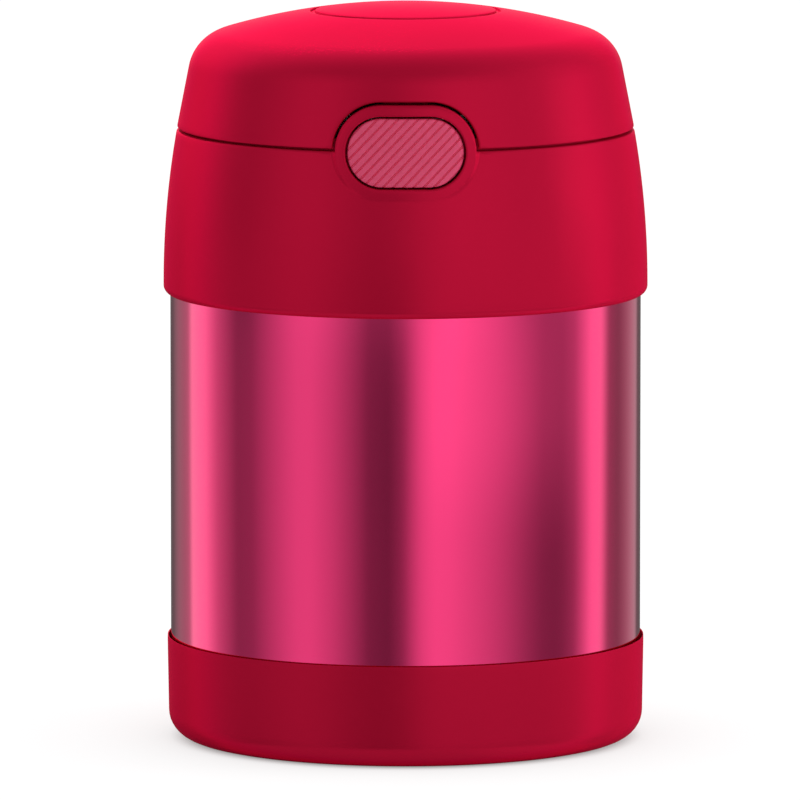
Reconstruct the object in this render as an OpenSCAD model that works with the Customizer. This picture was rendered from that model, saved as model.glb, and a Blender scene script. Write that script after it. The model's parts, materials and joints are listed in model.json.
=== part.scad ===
// Insulated food jar: vacuum steel body, screw-on lid, push-button hinged cover and folding spoon.
// Millimetres. The jar stands on Z = 0, the button faces -Y and the cover's hinge is at +Y.

/* [Jar body] */
// Outside diameter of the steel band
shell_d = 86.4; // [84:0.1:90]
// Height of the boot round the foot
boot_h = 18.3; // [14:0.1:26]
// Height of the bare steel band, from the boot to the lid
band_h = 63.9; // [50:0.1:90]
// Wall of the outer steel shell
shell_t = 0.6; // [0.4:0.05:0.8]
// How far the shell steps in where the boot covers it
foot_step = 0.95; // [0.6:0.05:1.4]
// How far the boot stands out past the band
boot_proud = 0.65; // [0.55:0.05:1.2]
// How much less the boot stands out at its foot
boot_taper = 0.3; // [0:0.05:0.5]
// How far the boot reaches up over the band
boot_lap = 2.5; // [1.5:0.1:5]
// Radius round the bottom edge of the boot
boot_round = 5; // [2:0.5:7]
// Radius round the top edge of the boot
boot_lip = 0.9; // [0.3:0.1:1]
// Thickness of the boot's floor
boot_floor = 2.4; // [1.8:0.1:4]
// Diameter of the hollow under the boot
boot_hollow_d = 58; // [40:1:66]
// Depth of the hollow under the boot
boot_hollow = 0.8; // [0.4:0.1:1.2]
// Gap between the steel band and the boot's upper edge
boot_gap = 0.25; // [0.15:0.05:0.35]
// Rounding of the shell's shoulder
shoulder_round = 1; // [0.7:0.1:1.4]
// Fillet between the shoulder and the neck
neck_fillet = 3; // [1:0.5:4]

/* [Liner and mouth] */
// Width of the shoulder between the band and the neck
shoulder_w = 6.7; // [6.4:0.1:8]
// Gap of the vacuum round the chamber
vacuum_side = 4.1; // [2.5:0.1:4.5]
// Wall of the inner liner
liner_t = 0.5; // [0.4:0.05:0.7]
// Gap of the vacuum under the chamber
vacuum_floor = 5.5; // [4.6:0.1:9]
// Gap of the vacuum under the shoulder
vacuum_top = 1.2; // [0.8:0.1:3]
// Gap of the vacuum round the neck
vacuum_neck = 1.4; // [1:0.1:1.8]
// Radius round the chamber's floor
chamber_round = 8; // [3:0.5:12]
// Height of the mouth above the lid's lower edge
neck_h = 17.3; // [16:0.1:17.4]
// Diameter of the getter under the chamber
getter_d = 16; // [8:1:24]
// Thickness of the getter
getter_t = 1.5; // [1:0.1:1.8]
// Diameter of the raised middle of the steel bottom
dimple_d = 20; // [14:1:30]
// Height of the raised middle of the steel bottom
dimple_h = 1.4; // [1.2:0.1:1.6]
// Diameter of the seal over the pumping hole
port_d = 7; // [4:0.5:10]

/* [Lid] */
// Height of the collar, from its lower edge to the parting line
collar_h = 30.3; // [30.2:0.1:33]
// How far the collar's widest ring stands out past the band
collar_proud = 1.25; // [0.8:0.05:2]
// Radius of the collar's long inward curve
collar_bow = 162; // [140:1:400]
// Radius round the collar's lower edge
collar_round = 1.8; // [1.4:0.1:2]
// How far the collar reaches down over the band
lid_lap = 1.5; // [1:0.1:2]
// Wall of the collar
collar_t = 2.2; // [2:0.05:2.6]
// Gap at the parting line
part_gap = 0.5; // [0.3:0.05:0.8]
// Thickness of the ledge that carries the tray
ledge_t = 1.2; // [0.8:0.1:1.4]
// How far the ledge reaches in from the collar's wall
ledge_w = 3.6; // [3:0.1:5]
// Thickness of the gasket
gasket_t = 1.5; // [1:0.1:1.7]
// Thickness of the stopper's flange
flange_t = 2; // [1.6:0.1:2.2]
// Wall of the stopper
stopper_t = 1.6; // [1.2:0.1:2]
// Depth of the stopper below the mouth
stopper_depth = 24.5; // [12:0.5:30]
// Gap between the stopper and the mouth
stopper_gap = 0.8; // [0.5:0.1:1.5]
// Room for the screw thread between neck and skirt
thread_room = 1.8; // [1.2:0.1:2]
// Wall of the threaded skirt
skirt_t = 2; // [1.4:0.1:2.2]
// Depth of the threaded skirt below the flange
skirt_h = 15; // [10:0.5:16]
// Thickness of the disc that closes the foam in
foam_cap_t = 1.6; // [1:0.1:2.4]
// Thickness of the floor of the spoon tray
deck_t = 1.4; // [1:0.1:1.6]
// Wall of the spoon tray
tray_t = 1.2; // [0.8:0.1:1.6]
// How far the tray's wall stands above the parting line
tray_rise = 1.9; // [1.7:0.1:4]

/* [Cover] */
// Height of the cover above the parting line
cover_h = 22.9; // [21:0.1:28]
// Wall of the cover
cover_t = 1.8; // [1.4:0.1:2.2]
// How far the cover's wall leans in for each millimetre up
cover_lean = 0.196; // [0.1:0.002:0.25]
// Radius between the cover's wall and its top
cover_round = 8.4; // [5:0.1:10]
// Radius of the domed top
dome_r = 118; // [90:1:200]
// Diameter of the ring groove in the top
top_ring_d = 34; // [20:1:44]
// Width of the ring groove
top_ring_w = 1; // [0.6:0.1:2]
// Depth of the ring groove
top_ring = 0.4; // [0.2:0.05:0.8]

/* [Button and latch] */
// Width of the button
button_w = 21; // [20:0.1:24]
// Height of the button
button_h = 12.3; // [12:0.1:14]
// Gap round the button
button_gap = 0.3; // [0.2:0.05:0.5]
// Wall of the raised rim round the button
rim_t = 2; // [1.5:0.1:2.5]
// Gap between the rim and the cover's arch
arch_gap = 0.45; // [0.3:0.05:0.8]
// How far the rim's face stands out past the parting line
rim_proud = 0.95; // [0.7:0.05:1.5]
// Depth of the rim, from its face to its flat back
rim_depth = 5.35; // [5:0.05:6]
// Radius of the rim's face, seen from the side
rim_bow = 74; // [50:1:150]
// How far the button lies behind the rim's face
button_sink = 0.2; // [0:0.05:0.6]
// How far the button goes in
button_travel = 2.5; // [1.5:0.1:2.6]
// Wall of the button
button_t = 1.6; // [1.2:0.1:2]
// Distance between the button's grooves
groove_pitch = 1.17; // [0.9:0.01:2]
// Width of a groove
groove_w = 0.32; // [0.2:0.01:0.6]
// Depth of a groove
groove_depth = 0.25; // [0.1:0.05:0.4]
// Slope of the grooves in degrees
groove_angle = 41; // [20:1:70]
// Width of the cover's hook
hook_w = 8; // [6:0.5:9]
// Thickness of the hook
hook_t = 1.6; // [1.2:0.1:1.8]
// How far the hook's nose stands out
nose = 1.3; // [0.8:0.1:1.6]
// Height of the latch's bars
bar_h = 2.4; // [1.8:0.1:3]
// Width of the latch's side bars
bar_w = 2.3; // [1.6:0.1:2.6]
// Wire of the latch springs
latch_wire = 0.4; // [0.3:0.05:0.5]
// Outside diameter of the latch springs
latch_coil_d = 3.6; // [3:0.1:4]
// Turns of each latch spring
latch_turns = 6; // [4:1:7]

/* [Hinge] */
// Diameter of the hinge pin
pin_d = 2; // [1.6:0.1:2.4]
// Outside diameter of the hinge barrel
barrel_d = 5; // [4.6:0.1:5.4]
// Width of each ear on the collar
ear_w = 4.2; // [3:0.1:6]
// Width of each knuckle on the cover
knuckle_w = 4.6; // [3:0.1:6]
// Width of the space for the hinge spring
spring_bay = 9.2; // [8.8:0.1:12]
// Gap between ears, knuckles and spring
hinge_gap = 0.3; // [0.2:0.05:0.5]
// Wire of the hinge spring
spring_wire = 0.6; // [0.4:0.05:0.6]
// Outside diameter of the hinge spring
spring_d = 4.1; // [3.8:0.1:4.3]
// Reach of the hinge spring's legs from the pin's axis
leg_reach = 3.5; // [3:0.1:4]
// Full turns of the hinge spring
spring_turns = 6; // [3:1:7]

/* [Spoon] */
// Length of the spoon's bowl
bowl_l = 44; // [36:0.5:46]
// Width of the bowl
bowl_w = 31; // [24:0.5:34]
// Depth of the bowl
bowl_depth = 8; // [6:0.5:9]
// Thickness of the steel
spoon_t = 1; // [0.8:0.1:1.2]
// Room in the tray beyond each end of the folded spoon
spoon_room = 5.2; // [5:0.1:6]
// Width of the strap between bowl and pivot
strap_w = 9; // [8:0.5:10]
// Distance from the pivot to the rest that holds the strap
cradle_reach = 11; // [10:0.5:12]
// Width of the handle
handle_w = 13; // [13:0.5:18]
// Thickness of the handle
handle_t = 1.2; // [1:0.1:1.3]
// Diameter of the pivot rivet
rivet_d = 2; // [1.6:0.1:2.2]
// Width of the bowl's eye round the rivet
eye_w = 6; // [5:0.5:7]

/* [Clearances] */
// Gap between pieces that are pressed or moulded together
fit = 0.05; // [0.02:0.01:0.1]
// Running gap round a pin, on the radius
run = 0.06; // [0.03:0.01:0.09]
// Gap between pieces that move past each other
slack = 0.3; // [0.2:0.05:0.4]

/* [Hidden] */
$fn = 96;

big = 200;                                  // longer than anything here
shell_r = shell_d / 2;
foot_r = shell_r - foot_step;
lid_z = boot_h + band_h;                    // lower edge of the lid
part_z = lid_z + collar_h;                  // parting line between collar and cover
top_z = part_z + cover_h;
mouth_z = lid_z + neck_h;                   // sealing rim of the jar
shoulder_z = lid_z + lid_lap;
neck_r = shell_r - shoulder_w;
mouth_r = neck_r - shell_t - vacuum_neck - liner_t;
chamber_r = shell_r - shell_t - vacuum_side - liner_t;
bottom_z = boot_floor;                      // underside of the steel bottom
dimple_z = bottom_z + dimple_h;             // underside of its raised middle
floor_z = bottom_z + shell_t + vacuum_floor + liner_t;
chamber_z = shoulder_z - shell_t - vacuum_top - liner_t;
chamber_step = chamber_r - mouth_r;

collar_r = shell_r + collar_proud;          // widest ring of the collar
collar_in_r = collar_r - collar_t;
wide_z = lid_z + collar_round;              // height of the widest ring
function collar_at(z) = collar_r - collar_bow + sqrt(pow(collar_bow, 2) - pow(z - wide_z, 2));
flange_z = mouth_z + gasket_t;              // underside of the stopper's flange
ledge_z = flange_z + flange_t;
deck_z = ledge_z + ledge_t + deck_t;        // floor of the spoon tray
ledge_r = collar_at(ledge_z) - collar_t - ledge_w;
stopper_r = mouth_r - stopper_gap;
stopper_z = mouth_z - stopper_depth;
skirt_r = neck_r + thread_room;
foam_z = ledge_z - foam_cap_t;              // top of the foam

// The cover's outline: a leaning wall, a fillet and a dome that are tangent to each other
cover_r = collar_at(part_z);
cover_z = part_z + part_gap / 2;
lean_deg = atan(cover_lean);
wall_dir = [-sin(lean_deg), cos(lean_deg)];
wall_in = [-cos(lean_deg), -sin(lean_deg)];
dome_c = [0, top_z - dome_r];
round_0 = [cover_r, cover_z] + cover_round * wall_in - dome_c;
round_b = round_0 * wall_dir;
round_t = -round_b + sqrt(pow(round_b, 2) - round_0 * round_0 + pow(dome_r - cover_round, 2));
round_c = dome_c + round_0 + round_t * wall_dir;     // centre of the fillet
round_out = (round_c - dome_c) / norm(round_c - dome_c);
function cover_at(z) = cover_r - (z - cover_z) * cover_lean;
tray_z = part_z + tray_rise;                // top of the tray's wall
tray_r = cover_at(tray_z) - cover_t / cos(lean_deg) - slack;

button_z = part_z - 0.3;
hole_w = button_w + 2 * button_gap;
hole_h = button_h + 2 * button_gap;
rim_w = hole_w + 2 * rim_t;
rim_h = hole_h + 2 * rim_t;
rim_lean = 6;                               // degrees that the rim's face leans back
rim_face = collar_at(part_z) + rim_proud;
rim_back = rim_depth - rim_face;            // flat back of the rim, where the latch stops
plug_y = rim_back - 1.7;                    // back of the button's skirt
pressed_y = plug_y + button_travel;         // the same with the button fully in
hook_y = pressed_y + 2 * slack;             // front of the hook's stem, clear as it swings out
hook_back = hook_y + hook_t;
bar_z = button_z - button_h / 2 + button_t + fit + 0.2;
bar_x = hook_w / 2 + 0.9;                   // inner side of the latch's side bars
catch_y = hook_back + slack;
catch_t = 2.6;
wing_t = 1.2;
wing_w = hole_w / 2 + rim_t * 0.6;          // half width over the wings, inside the cover's arch
wing_h = 7.8;
screen_y = catch_y + catch_t + button_travel + 0.7;  // screen between latch and spoon
screen_t = 1.4;
bay_x = wing_w + slack;                     // half width of the latch's bay
latch_x = bar_x + bar_w + latch_coil_d / 2 + 0.1;

hinge_y = collar_r - barrel_d / 2;
hinge_z = part_z;
pocket_r = barrel_d / 2 + 0.4;
knuckle_x = spring_bay / 2;
ear_x = knuckle_x + knuckle_w + hinge_gap;
between_ears = ear_x - hinge_gap / 2;
pin_l = 2 * (ear_x + ear_w);
coil_r = (spring_d - spring_wire) / 2;
bay_y = hinge_y - leg_reach - slack;        // front of the hinge spring's space
gusset_h = 11;                              // reach of the hinge's gussets up and down
tray_back = hinge_y - pocket_r - 1;         // flat back of the tray, clear of the hinge

spoon_z = deck_z - 0.9;                     // lowest point of the bowl
bowl_rim = spoon_z + bowl_depth;
function cap_radius(chord, depth) = (pow(chord / 2, 2) + pow(depth, 2)) / (2 * depth);
bowl_rl = cap_radius(bowl_l, bowl_depth);
bowl_rw = cap_radius(bowl_w, bowl_depth);
pivot_x = tray_r - tray_t - spoon_room;
spoon_x = -pivot_x;                         // tip of the bowl, and of the folded handle
bowl_x = spoon_x + bowl_l / 2;
pivot_z = bowl_rim - spoon_t / 2;
eye_r = slack + handle_t + spoon_t / 2;     // brings the eyes level with the handle's top
handle_l = pivot_x - spoon_x;
handle_z = bowl_rim + slack;
cradle_x = pivot_x - cradle_reach;
cradle_l = 6;
cradle_t = 1.8;

crimson = [0.70, 0.04, 0.16];
boot_red = [0.66, 0.03, 0.15];
metal_pink = [0.93, 0.22, 0.45];
button_pink = [0.82, 0.28, 0.42];
steel = [0.78, 0.79, 0.80];
spring_steel = [0.60, 0.61, 0.63];
silicone = [0.86, 0.87, 0.88];
foam_white = [0.95, 0.95, 0.93];

// ---- outlines and helpers ----

// Square corner less its quarter circle: cut it from a corner to round it, add it to fill one.
// The corner is at [x, y], and the rounded material lies towards [qx, qy].
module spandrel(x, y, r, qx, qy) {
    translate([x, y]) difference() {
        translate([qx > 0 ? 0 : -r, qy > 0 ? 0 : -r]) square(r);
        translate([qx * r, qy * r]) circle(r);
    }
}

module stadium(w, h) {
    square([w - h, h], center = true);
    for (s = [-1, 1]) translate([s * (w - h) / 2, 0]) circle(d = h);
}

// An outline drawn in X and Z, extruded from y0 to y1
module facing(y0, y1, z) {
    translate([0, y1, z]) rotate([90, 0, 0]) linear_extrude(y1 - y0) children();
}

// An outline drawn in Y and Z, extruded from x0 to x1
module across(x0, x1) {
    translate([x0, 0, 0]) rotate([90, 0, 90]) linear_extrude(x1 - x0) children();
}

module block(x0, x1, y0, y1, z0, z1) {
    translate([x0, y0, z0]) cube([x1 - x0, y1 - y0, z1 - z0]);
}

module ring_area(r0, r1, z0, z1) {
    translate([r0, z0]) square([r1 - r0, z1 - z0]);
}

// Where the line from point p touches a circle, on the side that s (1 or -1) chooses
function touch(p, c, r, s) =
    let (v = p - c, d = norm(v), a = atan2(v[1], v[0]) + s * acos(r / d))
    c + r * [cos(a), sin(a)];

// A round wire along a path: points with the normal of each, as [point, normal] pairs
module wire(path, d, sides) {
    n = len(path);
    function ahead(i) = path[min(i + 1, n - 1)][0] - path[max(i - 1, 0)][0];
    rings = [for (i = [0:n - 1]) let (u = path[i][1], t = ahead(i) / norm(ahead(i)), v = cross(t, u))
             for (k = [0:sides - 1]) let (a = 360 * k / sides)
             path[i][0] + d / 2 * (cos(a) * u + sin(a) * v)];
    walls = [for (i = [0:n - 2], k = [0:sides - 1]) let (k2 = (k + 1) % sides)
             [i * sides + k, (i + 1) * sides + k, (i + 1) * sides + k2, i * sides + k2]];
    first = [for (k = [0:sides - 1]) k];
    last = [for (k = [0:sides - 1]) n * sides - 1 - k];
    polyhedron(points = rings, faces = concat([first], walls, [last]), convexity = 6);
}

// ---- vacuum jar ----

module base_boot() {
    r_top = shell_r + boot_proud;
    r_low = r_top - boot_taper;
    color(boot_red) rotate_extrude() difference() {
        polygon([[0, 0], [r_low, 0], [r_low, boot_round], [r_top, boot_h], [0, boot_h]]);
        spandrel(r_low, 0, boot_round, -1, 1);
        spandrel(r_top, boot_h, boot_lip, -1, -1);
        ring_area(0, foot_r + fit, boot_floor, big);
        ring_area(0, shell_r + boot_gap, boot_h - boot_lap - slack, big);
        polygon([[0, -1], [boot_hollow_d / 2 + 1, -1], [boot_hollow_d / 2, 0],
                 [boot_hollow_d / 2 - boot_hollow, boot_hollow], [0, boot_hollow]]);
    }
}

// Everything inside the shell's outer face, less the inset
module shell_area(inset) {
    step_z = boot_h - boot_lap;
    ring_area(0, foot_r - inset, bottom_z, step_z + shell_t + 1);
    difference() {
        ring_area(0, shell_r - inset, step_z + inset, shoulder_z - inset);
        spandrel(shell_r - inset, shoulder_z - inset, shoulder_round - inset, -1, -1);
        spandrel(shell_r - inset, step_z + inset, 0.9 - inset, -1, 1);
    }
    ring_area(0, neck_r - inset, shoulder_z - 2, mouth_z - liner_t);
    spandrel(neck_r - inset, shoulder_z - inset, neck_fillet + inset, 1, 1);
}

module outer_shell() {
    color(metal_pink) rotate_extrude() difference() {
        shell_area(0);
        shell_area(shell_t);
    }
}

module outer_bottom() {
    r = foot_r - shell_t - fit;
    lip = 6;
    corner = 1.5;
    slope = 2;
    module cup(inset) {
        difference() {
            ring_area(0, r - inset, bottom_z + inset, bottom_z + lip);
            spandrel(r - inset, bottom_z + inset, corner - inset, -1, 1);
        }
    }
    module dimple() {
        polygon([[0, bottom_z - 1], [dimple_d / 2, bottom_z - 1], [dimple_d / 2, bottom_z],
                 [dimple_d / 2 - slope, dimple_z], [0, dimple_z]]);
    }
    color(steel) rotate_extrude() difference() {
        union() {
            difference() {
                cup(0);
                cup(shell_t);
            }
            translate([0, shell_t]) intersection() {
                dimple();
                ring_area(0, big, bottom_z - shell_t, big);
            }
        }
        dimple();
    }
}

// Everything inside the liner's food side, grown by its wall for the vacuum side
module liner_area(grow) {
    inner = chamber_step * 0.375;
    outer = chamber_step - inner;
    difference() {
        ring_area(0, chamber_r + grow, floor_z - grow, chamber_z + grow);
        spandrel(chamber_r + grow, floor_z - grow, chamber_round + grow, -1, 1);
        spandrel(chamber_r + grow, chamber_z + grow, outer + grow, -1, -1);
    }
    ring_area(0, mouth_r + grow, chamber_z - 1, mouth_z);
    spandrel(mouth_r + grow, chamber_z + grow, inner - grow, 1, 1);
}

module inner_liner() {
    edge = 0.2;
    color(steel) rotate_extrude() difference() {
        union() {
            liner_area(liner_t);
            ring_area(0, neck_r, mouth_z - liner_t, mouth_z);
        }
        liner_area(0);
        ring_area(0, mouth_r, mouth_z - 1, big);
        spandrel(neck_r, mouth_z, edge, -1, -1);
        spandrel(mouth_r, mouth_z, edge, 1, -1);
    }
}

module getter() {
    z = floor_z - liner_t;
    color(spring_steel) rotate_extrude() difference() {
        ring_area(0, getter_d / 2, z - getter_t, z);
        ring_area(0, getter_d / 2 - 1.5, z - getter_t - 1, z - getter_t + 0.5);
    }
}

module port_seal() {
    color(spring_steel) translate([0, 0, dimple_z - 1]) cylinder(d = port_d, h = 1);
}

// ---- lid ----

// Ring between two circles about the centre of the collar's long curve
module collar_wall(out, back) {
    centre = [collar_r - collar_bow, wide_z];
    intersection() {
        difference() {
            translate(centre) circle(collar_bow + out, $fn = 720);
            translate(centre) circle(collar_bow - back, $fn = 720);
        }
        ring_area(0, big, wide_z, part_z - part_gap / 2);
    }
}

// The face that the rim and the button follow, set back by the inset
module face_form(inset) {
    rotate_extrude($fn = 360) intersection() {
        translate([rim_face - rim_bow * cos(rim_lean), button_z - rim_bow * sin(rim_lean)])
            circle(rim_bow - inset, $fn = 360);
        ring_area(0, big, lid_z, top_z);
    }
}

module hinge_profile(foot, inner) {
    axis = [hinge_y, hinge_z];
    translate(axis) circle(barrel_d / 2);
    polygon([touch(foot, axis, barrel_d / 2, foot[1] < hinge_z ? 1 : -1), foot, inner, axis]);
}

// Room round the barrel, from -half to half
module hinge_pocket(half) {
    across(-half, half) translate([hinge_y, hinge_z]) circle(pocket_r);
}

module hinge_ears() {
    foot_z = hinge_z - gusset_h;
    across(-pin_l / 2, pin_l / 2)
        hinge_profile([collar_at(foot_z) - 0.1, foot_z],
                      [collar_at(foot_z) - collar_t + 0.5, foot_z + 1]);
}

module lid_collar() {
    edge = 0.3;
    top = part_z - part_gap / 2;
    color(crimson) difference() {
        union() {
            difference() {
                rotate_extrude() difference() {
                    union() {
                        collar_wall(0, collar_t);
                        difference() {
                            ring_area(collar_in_r, collar_r, lid_z, wide_z);
                            spandrel(collar_r, lid_z, collar_round, -1, 1);
                        }
                        intersection() {
                            collar_wall(-collar_t / 4, collar_in_r);
                            ring_area(ledge_r, big, ledge_z, ledge_z + ledge_t);
                        }
                    }
                    ring_area(0, shell_r + slack, lid_z - 1, shoulder_z + slack);
                    spandrel(collar_at(top - edge), top, edge, -1, -1);
                }
                block(-spring_bay / 2, spring_bay / 2, bay_y, hinge_y,
                      hinge_z - coil_r - spring_wire / 2 - slack, hinge_z);
            }
            intersection() {
                facing(-big / 2, rim_back, button_z) stadium(rim_w, rim_h);
                face_form(0);
            }
            hinge_ears();
        }
        hinge_pocket(between_ears);
        block(-between_ears, between_ears, hinge_y, big, hinge_z - pocket_r, hinge_z);
        facing(-big / 2, rim_back + 0.01, button_z) stadium(hole_w, hole_h);
        across(-pin_l / 2 - 1, pin_l / 2 + 1) translate([hinge_y, hinge_z]) circle(pin_d / 2 + fit);
    }
}

module inner_lid() {
    corner = 2;
    groove = 0.6;
    flange_r = collar_at(flange_z + flange_t) - collar_t - slack / 2;
    color(crimson) rotate_extrude() difference() {
        union() {
            ring_area(0, stopper_r, stopper_z, ledge_z);
            ring_area(0, flange_r, flange_z, ledge_z);
            ring_area(skirt_r, skirt_r + skirt_t, flange_z - skirt_h, ledge_z);
        }
        spandrel(stopper_r, stopper_z, corner, -1, 1);
        ring_area(0, stopper_r - stopper_t, stopper_z + stopper_t, big);
        ring_area(stopper_r - groove, stopper_r + 1, flange_z - gasket_t * 0.7, flange_z);
        spandrel(skirt_r, flange_z - skirt_h, 0.8, 1, 1);
        spandrel(skirt_r + skirt_t, flange_z - skirt_h, 0.8, -1, 1);
    }
}

module lid_insulation() {
    r = stopper_r - stopper_t - fit;
    color(foam_white) translate([0, 0, stopper_z + stopper_t])
        cylinder(r = r, h = foam_z - stopper_z - stopper_t);
}

module insulation_cap() {
    r = stopper_r - stopper_t - fit;
    color(crimson) translate([0, 0, foam_z]) cylinder(r = r, h = foam_cap_t);
}

module lid_gasket() {
    groove_r = stopper_r - 0.6 + slack;
    color(silicone) rotate_extrude() difference() {
        union() {
            ring_area(stopper_r + slack, neck_r + 0.3, mouth_z, flange_z);
            ring_area(groove_r, neck_r, mouth_z + gasket_t / 2, flange_z);
        }
        spandrel(neck_r + 0.3, mouth_z, 0.4, -1, 1);
    }
}

// Plan of the tray: a circle with a flat back, less the inset
module tray_plan(inset) {
    intersection() {
        circle(tray_r - inset);
        translate([-big, rim_back + slack]) square([2 * big, tray_back - inset - rim_back - slack]);
    }
}

module spoon_tray() {
    dish_z = ledge_z + 0.2;
    arm = bar_x + bar_w;
    strap = strap_w / 2 + slack;
    color(crimson) difference() {
        union() {
            translate([0, 0, deck_z - deck_t]) linear_extrude(deck_t) tray_plan(0);
            intersection() {
                bowl_form(slack + deck_t);
                block(-big, big, -big, big, dish_z, deck_z);
            }
            translate([0, 0, deck_z - 0.1]) linear_extrude(tray_z - deck_z + 0.1) {
                difference() {
                    tray_plan(0);
                    tray_plan(tray_t);
                    translate([-bay_x, -big]) square([2 * bay_x, big]);
                }
                intersection() {
                    tray_plan(0);
                    difference() {
                        translate([-bay_x - tray_t, -big]) square([2 * (bay_x + tray_t),
                                                                   big + screen_y + screen_t]);
                        translate([-bay_x, -big]) square([2 * bay_x, big + screen_y]);
                    }
                }
            }
            for (s = [-1, 1]) scale([s, 1, 1])
                block(bar_x, arm, pressed_y + slack, screen_y + 0.1, deck_z - 0.1, bar_z - slack);
            difference() {
                block(cradle_x, cradle_x + cradle_l, -strap - cradle_t, strap + cradle_t,
                      deck_z - 0.1, bowl_rim);
                block(cradle_x - 1, cradle_x + cradle_l + 1, -strap, strap,
                      bowl_rim - spoon_t - slack, big);
            }
        }
        bowl_form(slack);
    }
}

// ---- cover ----

// Everything inside the cover's outline, less the inset
module cover_area(inset) {
    wall = round_c - (cover_round - inset) * wall_in;
    base = [cover_r - inset / cos(lean_deg), cover_z];
    polygon([[0, cover_z], base, wall, round_c, [0, round_c[1]]]);
    translate(round_c) circle(cover_round - inset);
    intersection() {
        translate(dome_c) circle(dome_r - inset, $fn = 720);
        polygon([[0, round_c[1]], round_c, round_c + 2 * cover_round * round_out, [0, top_z + 9]]);
    }
}

module cover_shell() {
    edge = 0.3;
    difference() {
        rotate_extrude() difference() {
            cover_area(0);
            cover_area(cover_t);
            ring_area(0, cover_r - 2 * cover_t, cover_z - 1, cover_z + 1);
            difference() {
                ring_area((top_ring_d - top_ring_w) / 2, (top_ring_d + top_ring_w) / 2, round_c[1], big);
                translate(dome_c) circle(dome_r - top_ring, $fn = 720);
            }
            spandrel(cover_r, cover_z, edge, -1, 1);
        }
        facing(-big / 2, 0, button_z) stadium(rim_w + 2 * arch_gap, rim_h + 2 * arch_gap);
        hinge_pocket(pin_l / 2 + hinge_gap);
        block(-spring_bay / 2, spring_bay / 2, bay_y, hinge_y,
              hinge_z, hinge_z + coil_r + spring_wire / 2 + slack);
    }
}

module hook() {
    nose_z = bar_z - 0.1;                   // catch face, just under the latch's cross bar
    nose_h = 1.6;
    root_z = button_z + rim_h / 2 + arch_gap + 0.4;
    across(-hook_w / 2, hook_w / 2) polygon([
        [hook_y, nose_z - nose_h], [hook_back, nose_z - nose_h],
        [hook_back + nose, nose_z - nose_h / 3], [hook_back + nose, nose_z],
        [hook_back, nose_z], [hook_back, root_z + 4], [hook_y, root_z + 4]]);
    intersection() {
        across(-hook_w / 2, hook_w / 2) polygon([
            [-cover_r, root_z], [hook_back, root_z], [hook_back, top_z], [-cover_r, top_z]]);
        rotate_extrude() cover_area(cover_t / 2);
    }
}

module knuckles() {
    head_z = hinge_z + gusset_h;
    half = knuckle_x + knuckle_w;
    difference() {
        across(-half, half) hinge_profile([cover_at(head_z) - 0.1, head_z],
                                          [cover_at(head_z) - cover_t + 0.5, head_z - 1]);
        hinge_pocket(knuckle_x);
    }
}

module cover() {
    color(crimson) difference() {
        union() {
            cover_shell();
            hook();
            knuckles();
        }
        across(-pin_l / 2 - 1, pin_l / 2 + 1) translate([hinge_y, hinge_z]) circle(pin_d / 2 + run);
    }
}

module hinge_pin() {
    color(steel) across(-pin_l / 2, pin_l / 2) translate([hinge_y, hinge_z]) circle(pin_d / 2);
}

module hinge_spring() {
    steps = 14;
    sweep_deg = 180 + 360 * spring_turns;
    count = ceil(sweep_deg / 360 * steps);
    leg_y = hinge_y - leg_reach;
    x_end = spring_bay / 2 - hinge_gap - spring_wire / 2;
    function coil(i) = let (a = -90 + sweep_deg * i / count)
        [[x_end * (2 * i / count - 1), hinge_y + coil_r * cos(a), hinge_z + coil_r * sin(a)],
         [0, cos(a), sin(a)]];
    low = [[-x_end, leg_y, hinge_z - coil_r], [0, 0, -1]];
    high = [[x_end, leg_y, hinge_z + coil_r], [0, 0, 1]];
    color(spring_steel) wire(concat([low], [for (i = [0:count]) coil(i)], [high]), spring_wire, 8);
}

// ---- button and latch ----

module button() {
    strip = 2 * button_w / groove_pitch;
    color(button_pink) difference() {
        intersection() {
            facing(-big / 2, plug_y, button_z) stadium(button_w, button_h);
            face_form(button_sink);
        }
        difference() {
            facing(-big / 2, plug_y - button_t, button_z) rotate(groove_angle)
                for (i = [-floor(strip / 2):floor(strip / 2)])
                    translate([-button_w, i * groove_pitch - groove_w / 2])
                        square([2 * button_w, groove_w]);
            face_form(button_sink + groove_depth);
        }
        facing(plug_y - button_t, plug_y + 1, button_z)
            stadium(button_w - 2 * button_t, button_h - 2 * button_t);
    }
}

module latch_slide() {
    arm = bar_x + bar_w;
    color(crimson) {
        facing(plug_y - button_t, plug_y, button_z)
            stadium(button_w - 2 * button_t - 2 * fit, button_h - 2 * button_t - 2 * fit);
        for (s = [-1, 1]) scale([s, 1, 1]) {
            block(bar_x, arm, plug_y, catch_y + catch_t, bar_z, bar_z + bar_h);
            block(bar_x, wing_w, rim_back, rim_back + wing_t,
                  button_z - wing_h / 2, button_z + wing_h / 2);
        }
        block(-arm, arm, catch_y, catch_y + catch_t, bar_z, bar_z + bar_h);
    }
}

module latch_spring(side) {
    steps = 14;
    r = (latch_coil_d - latch_wire) / 2;
    y0 = rim_back + wing_t + latch_wire / 2;
    y1 = screen_y - latch_wire / 2;
    count = steps * latch_turns;
    path = [for (i = [0:count]) let (a = 360 * i / steps)
            [[side * latch_x + r * cos(a), y0 + (y1 - y0) * i / count, button_z + r * sin(a)],
             [cos(a), 0, sin(a)]]];
    color(spring_steel) wire(path, latch_wire, 6);
}

module latch_spring_left() { latch_spring(-1); }
module latch_spring_right() { latch_spring(1); }

// ---- spoon ----

// A barrel-shaped solid whose lower cap is the outside of the bowl
module bowl_form(grow) {
    translate([bowl_x, 0, spoon_z + bowl_rl]) rotate([90, 0, 0]) rotate_extrude() intersection() {
        translate([bowl_rl - bowl_rw, 0]) circle(bowl_rw + grow);
        ring_area(0, big, -big, big);
    }
}

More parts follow.
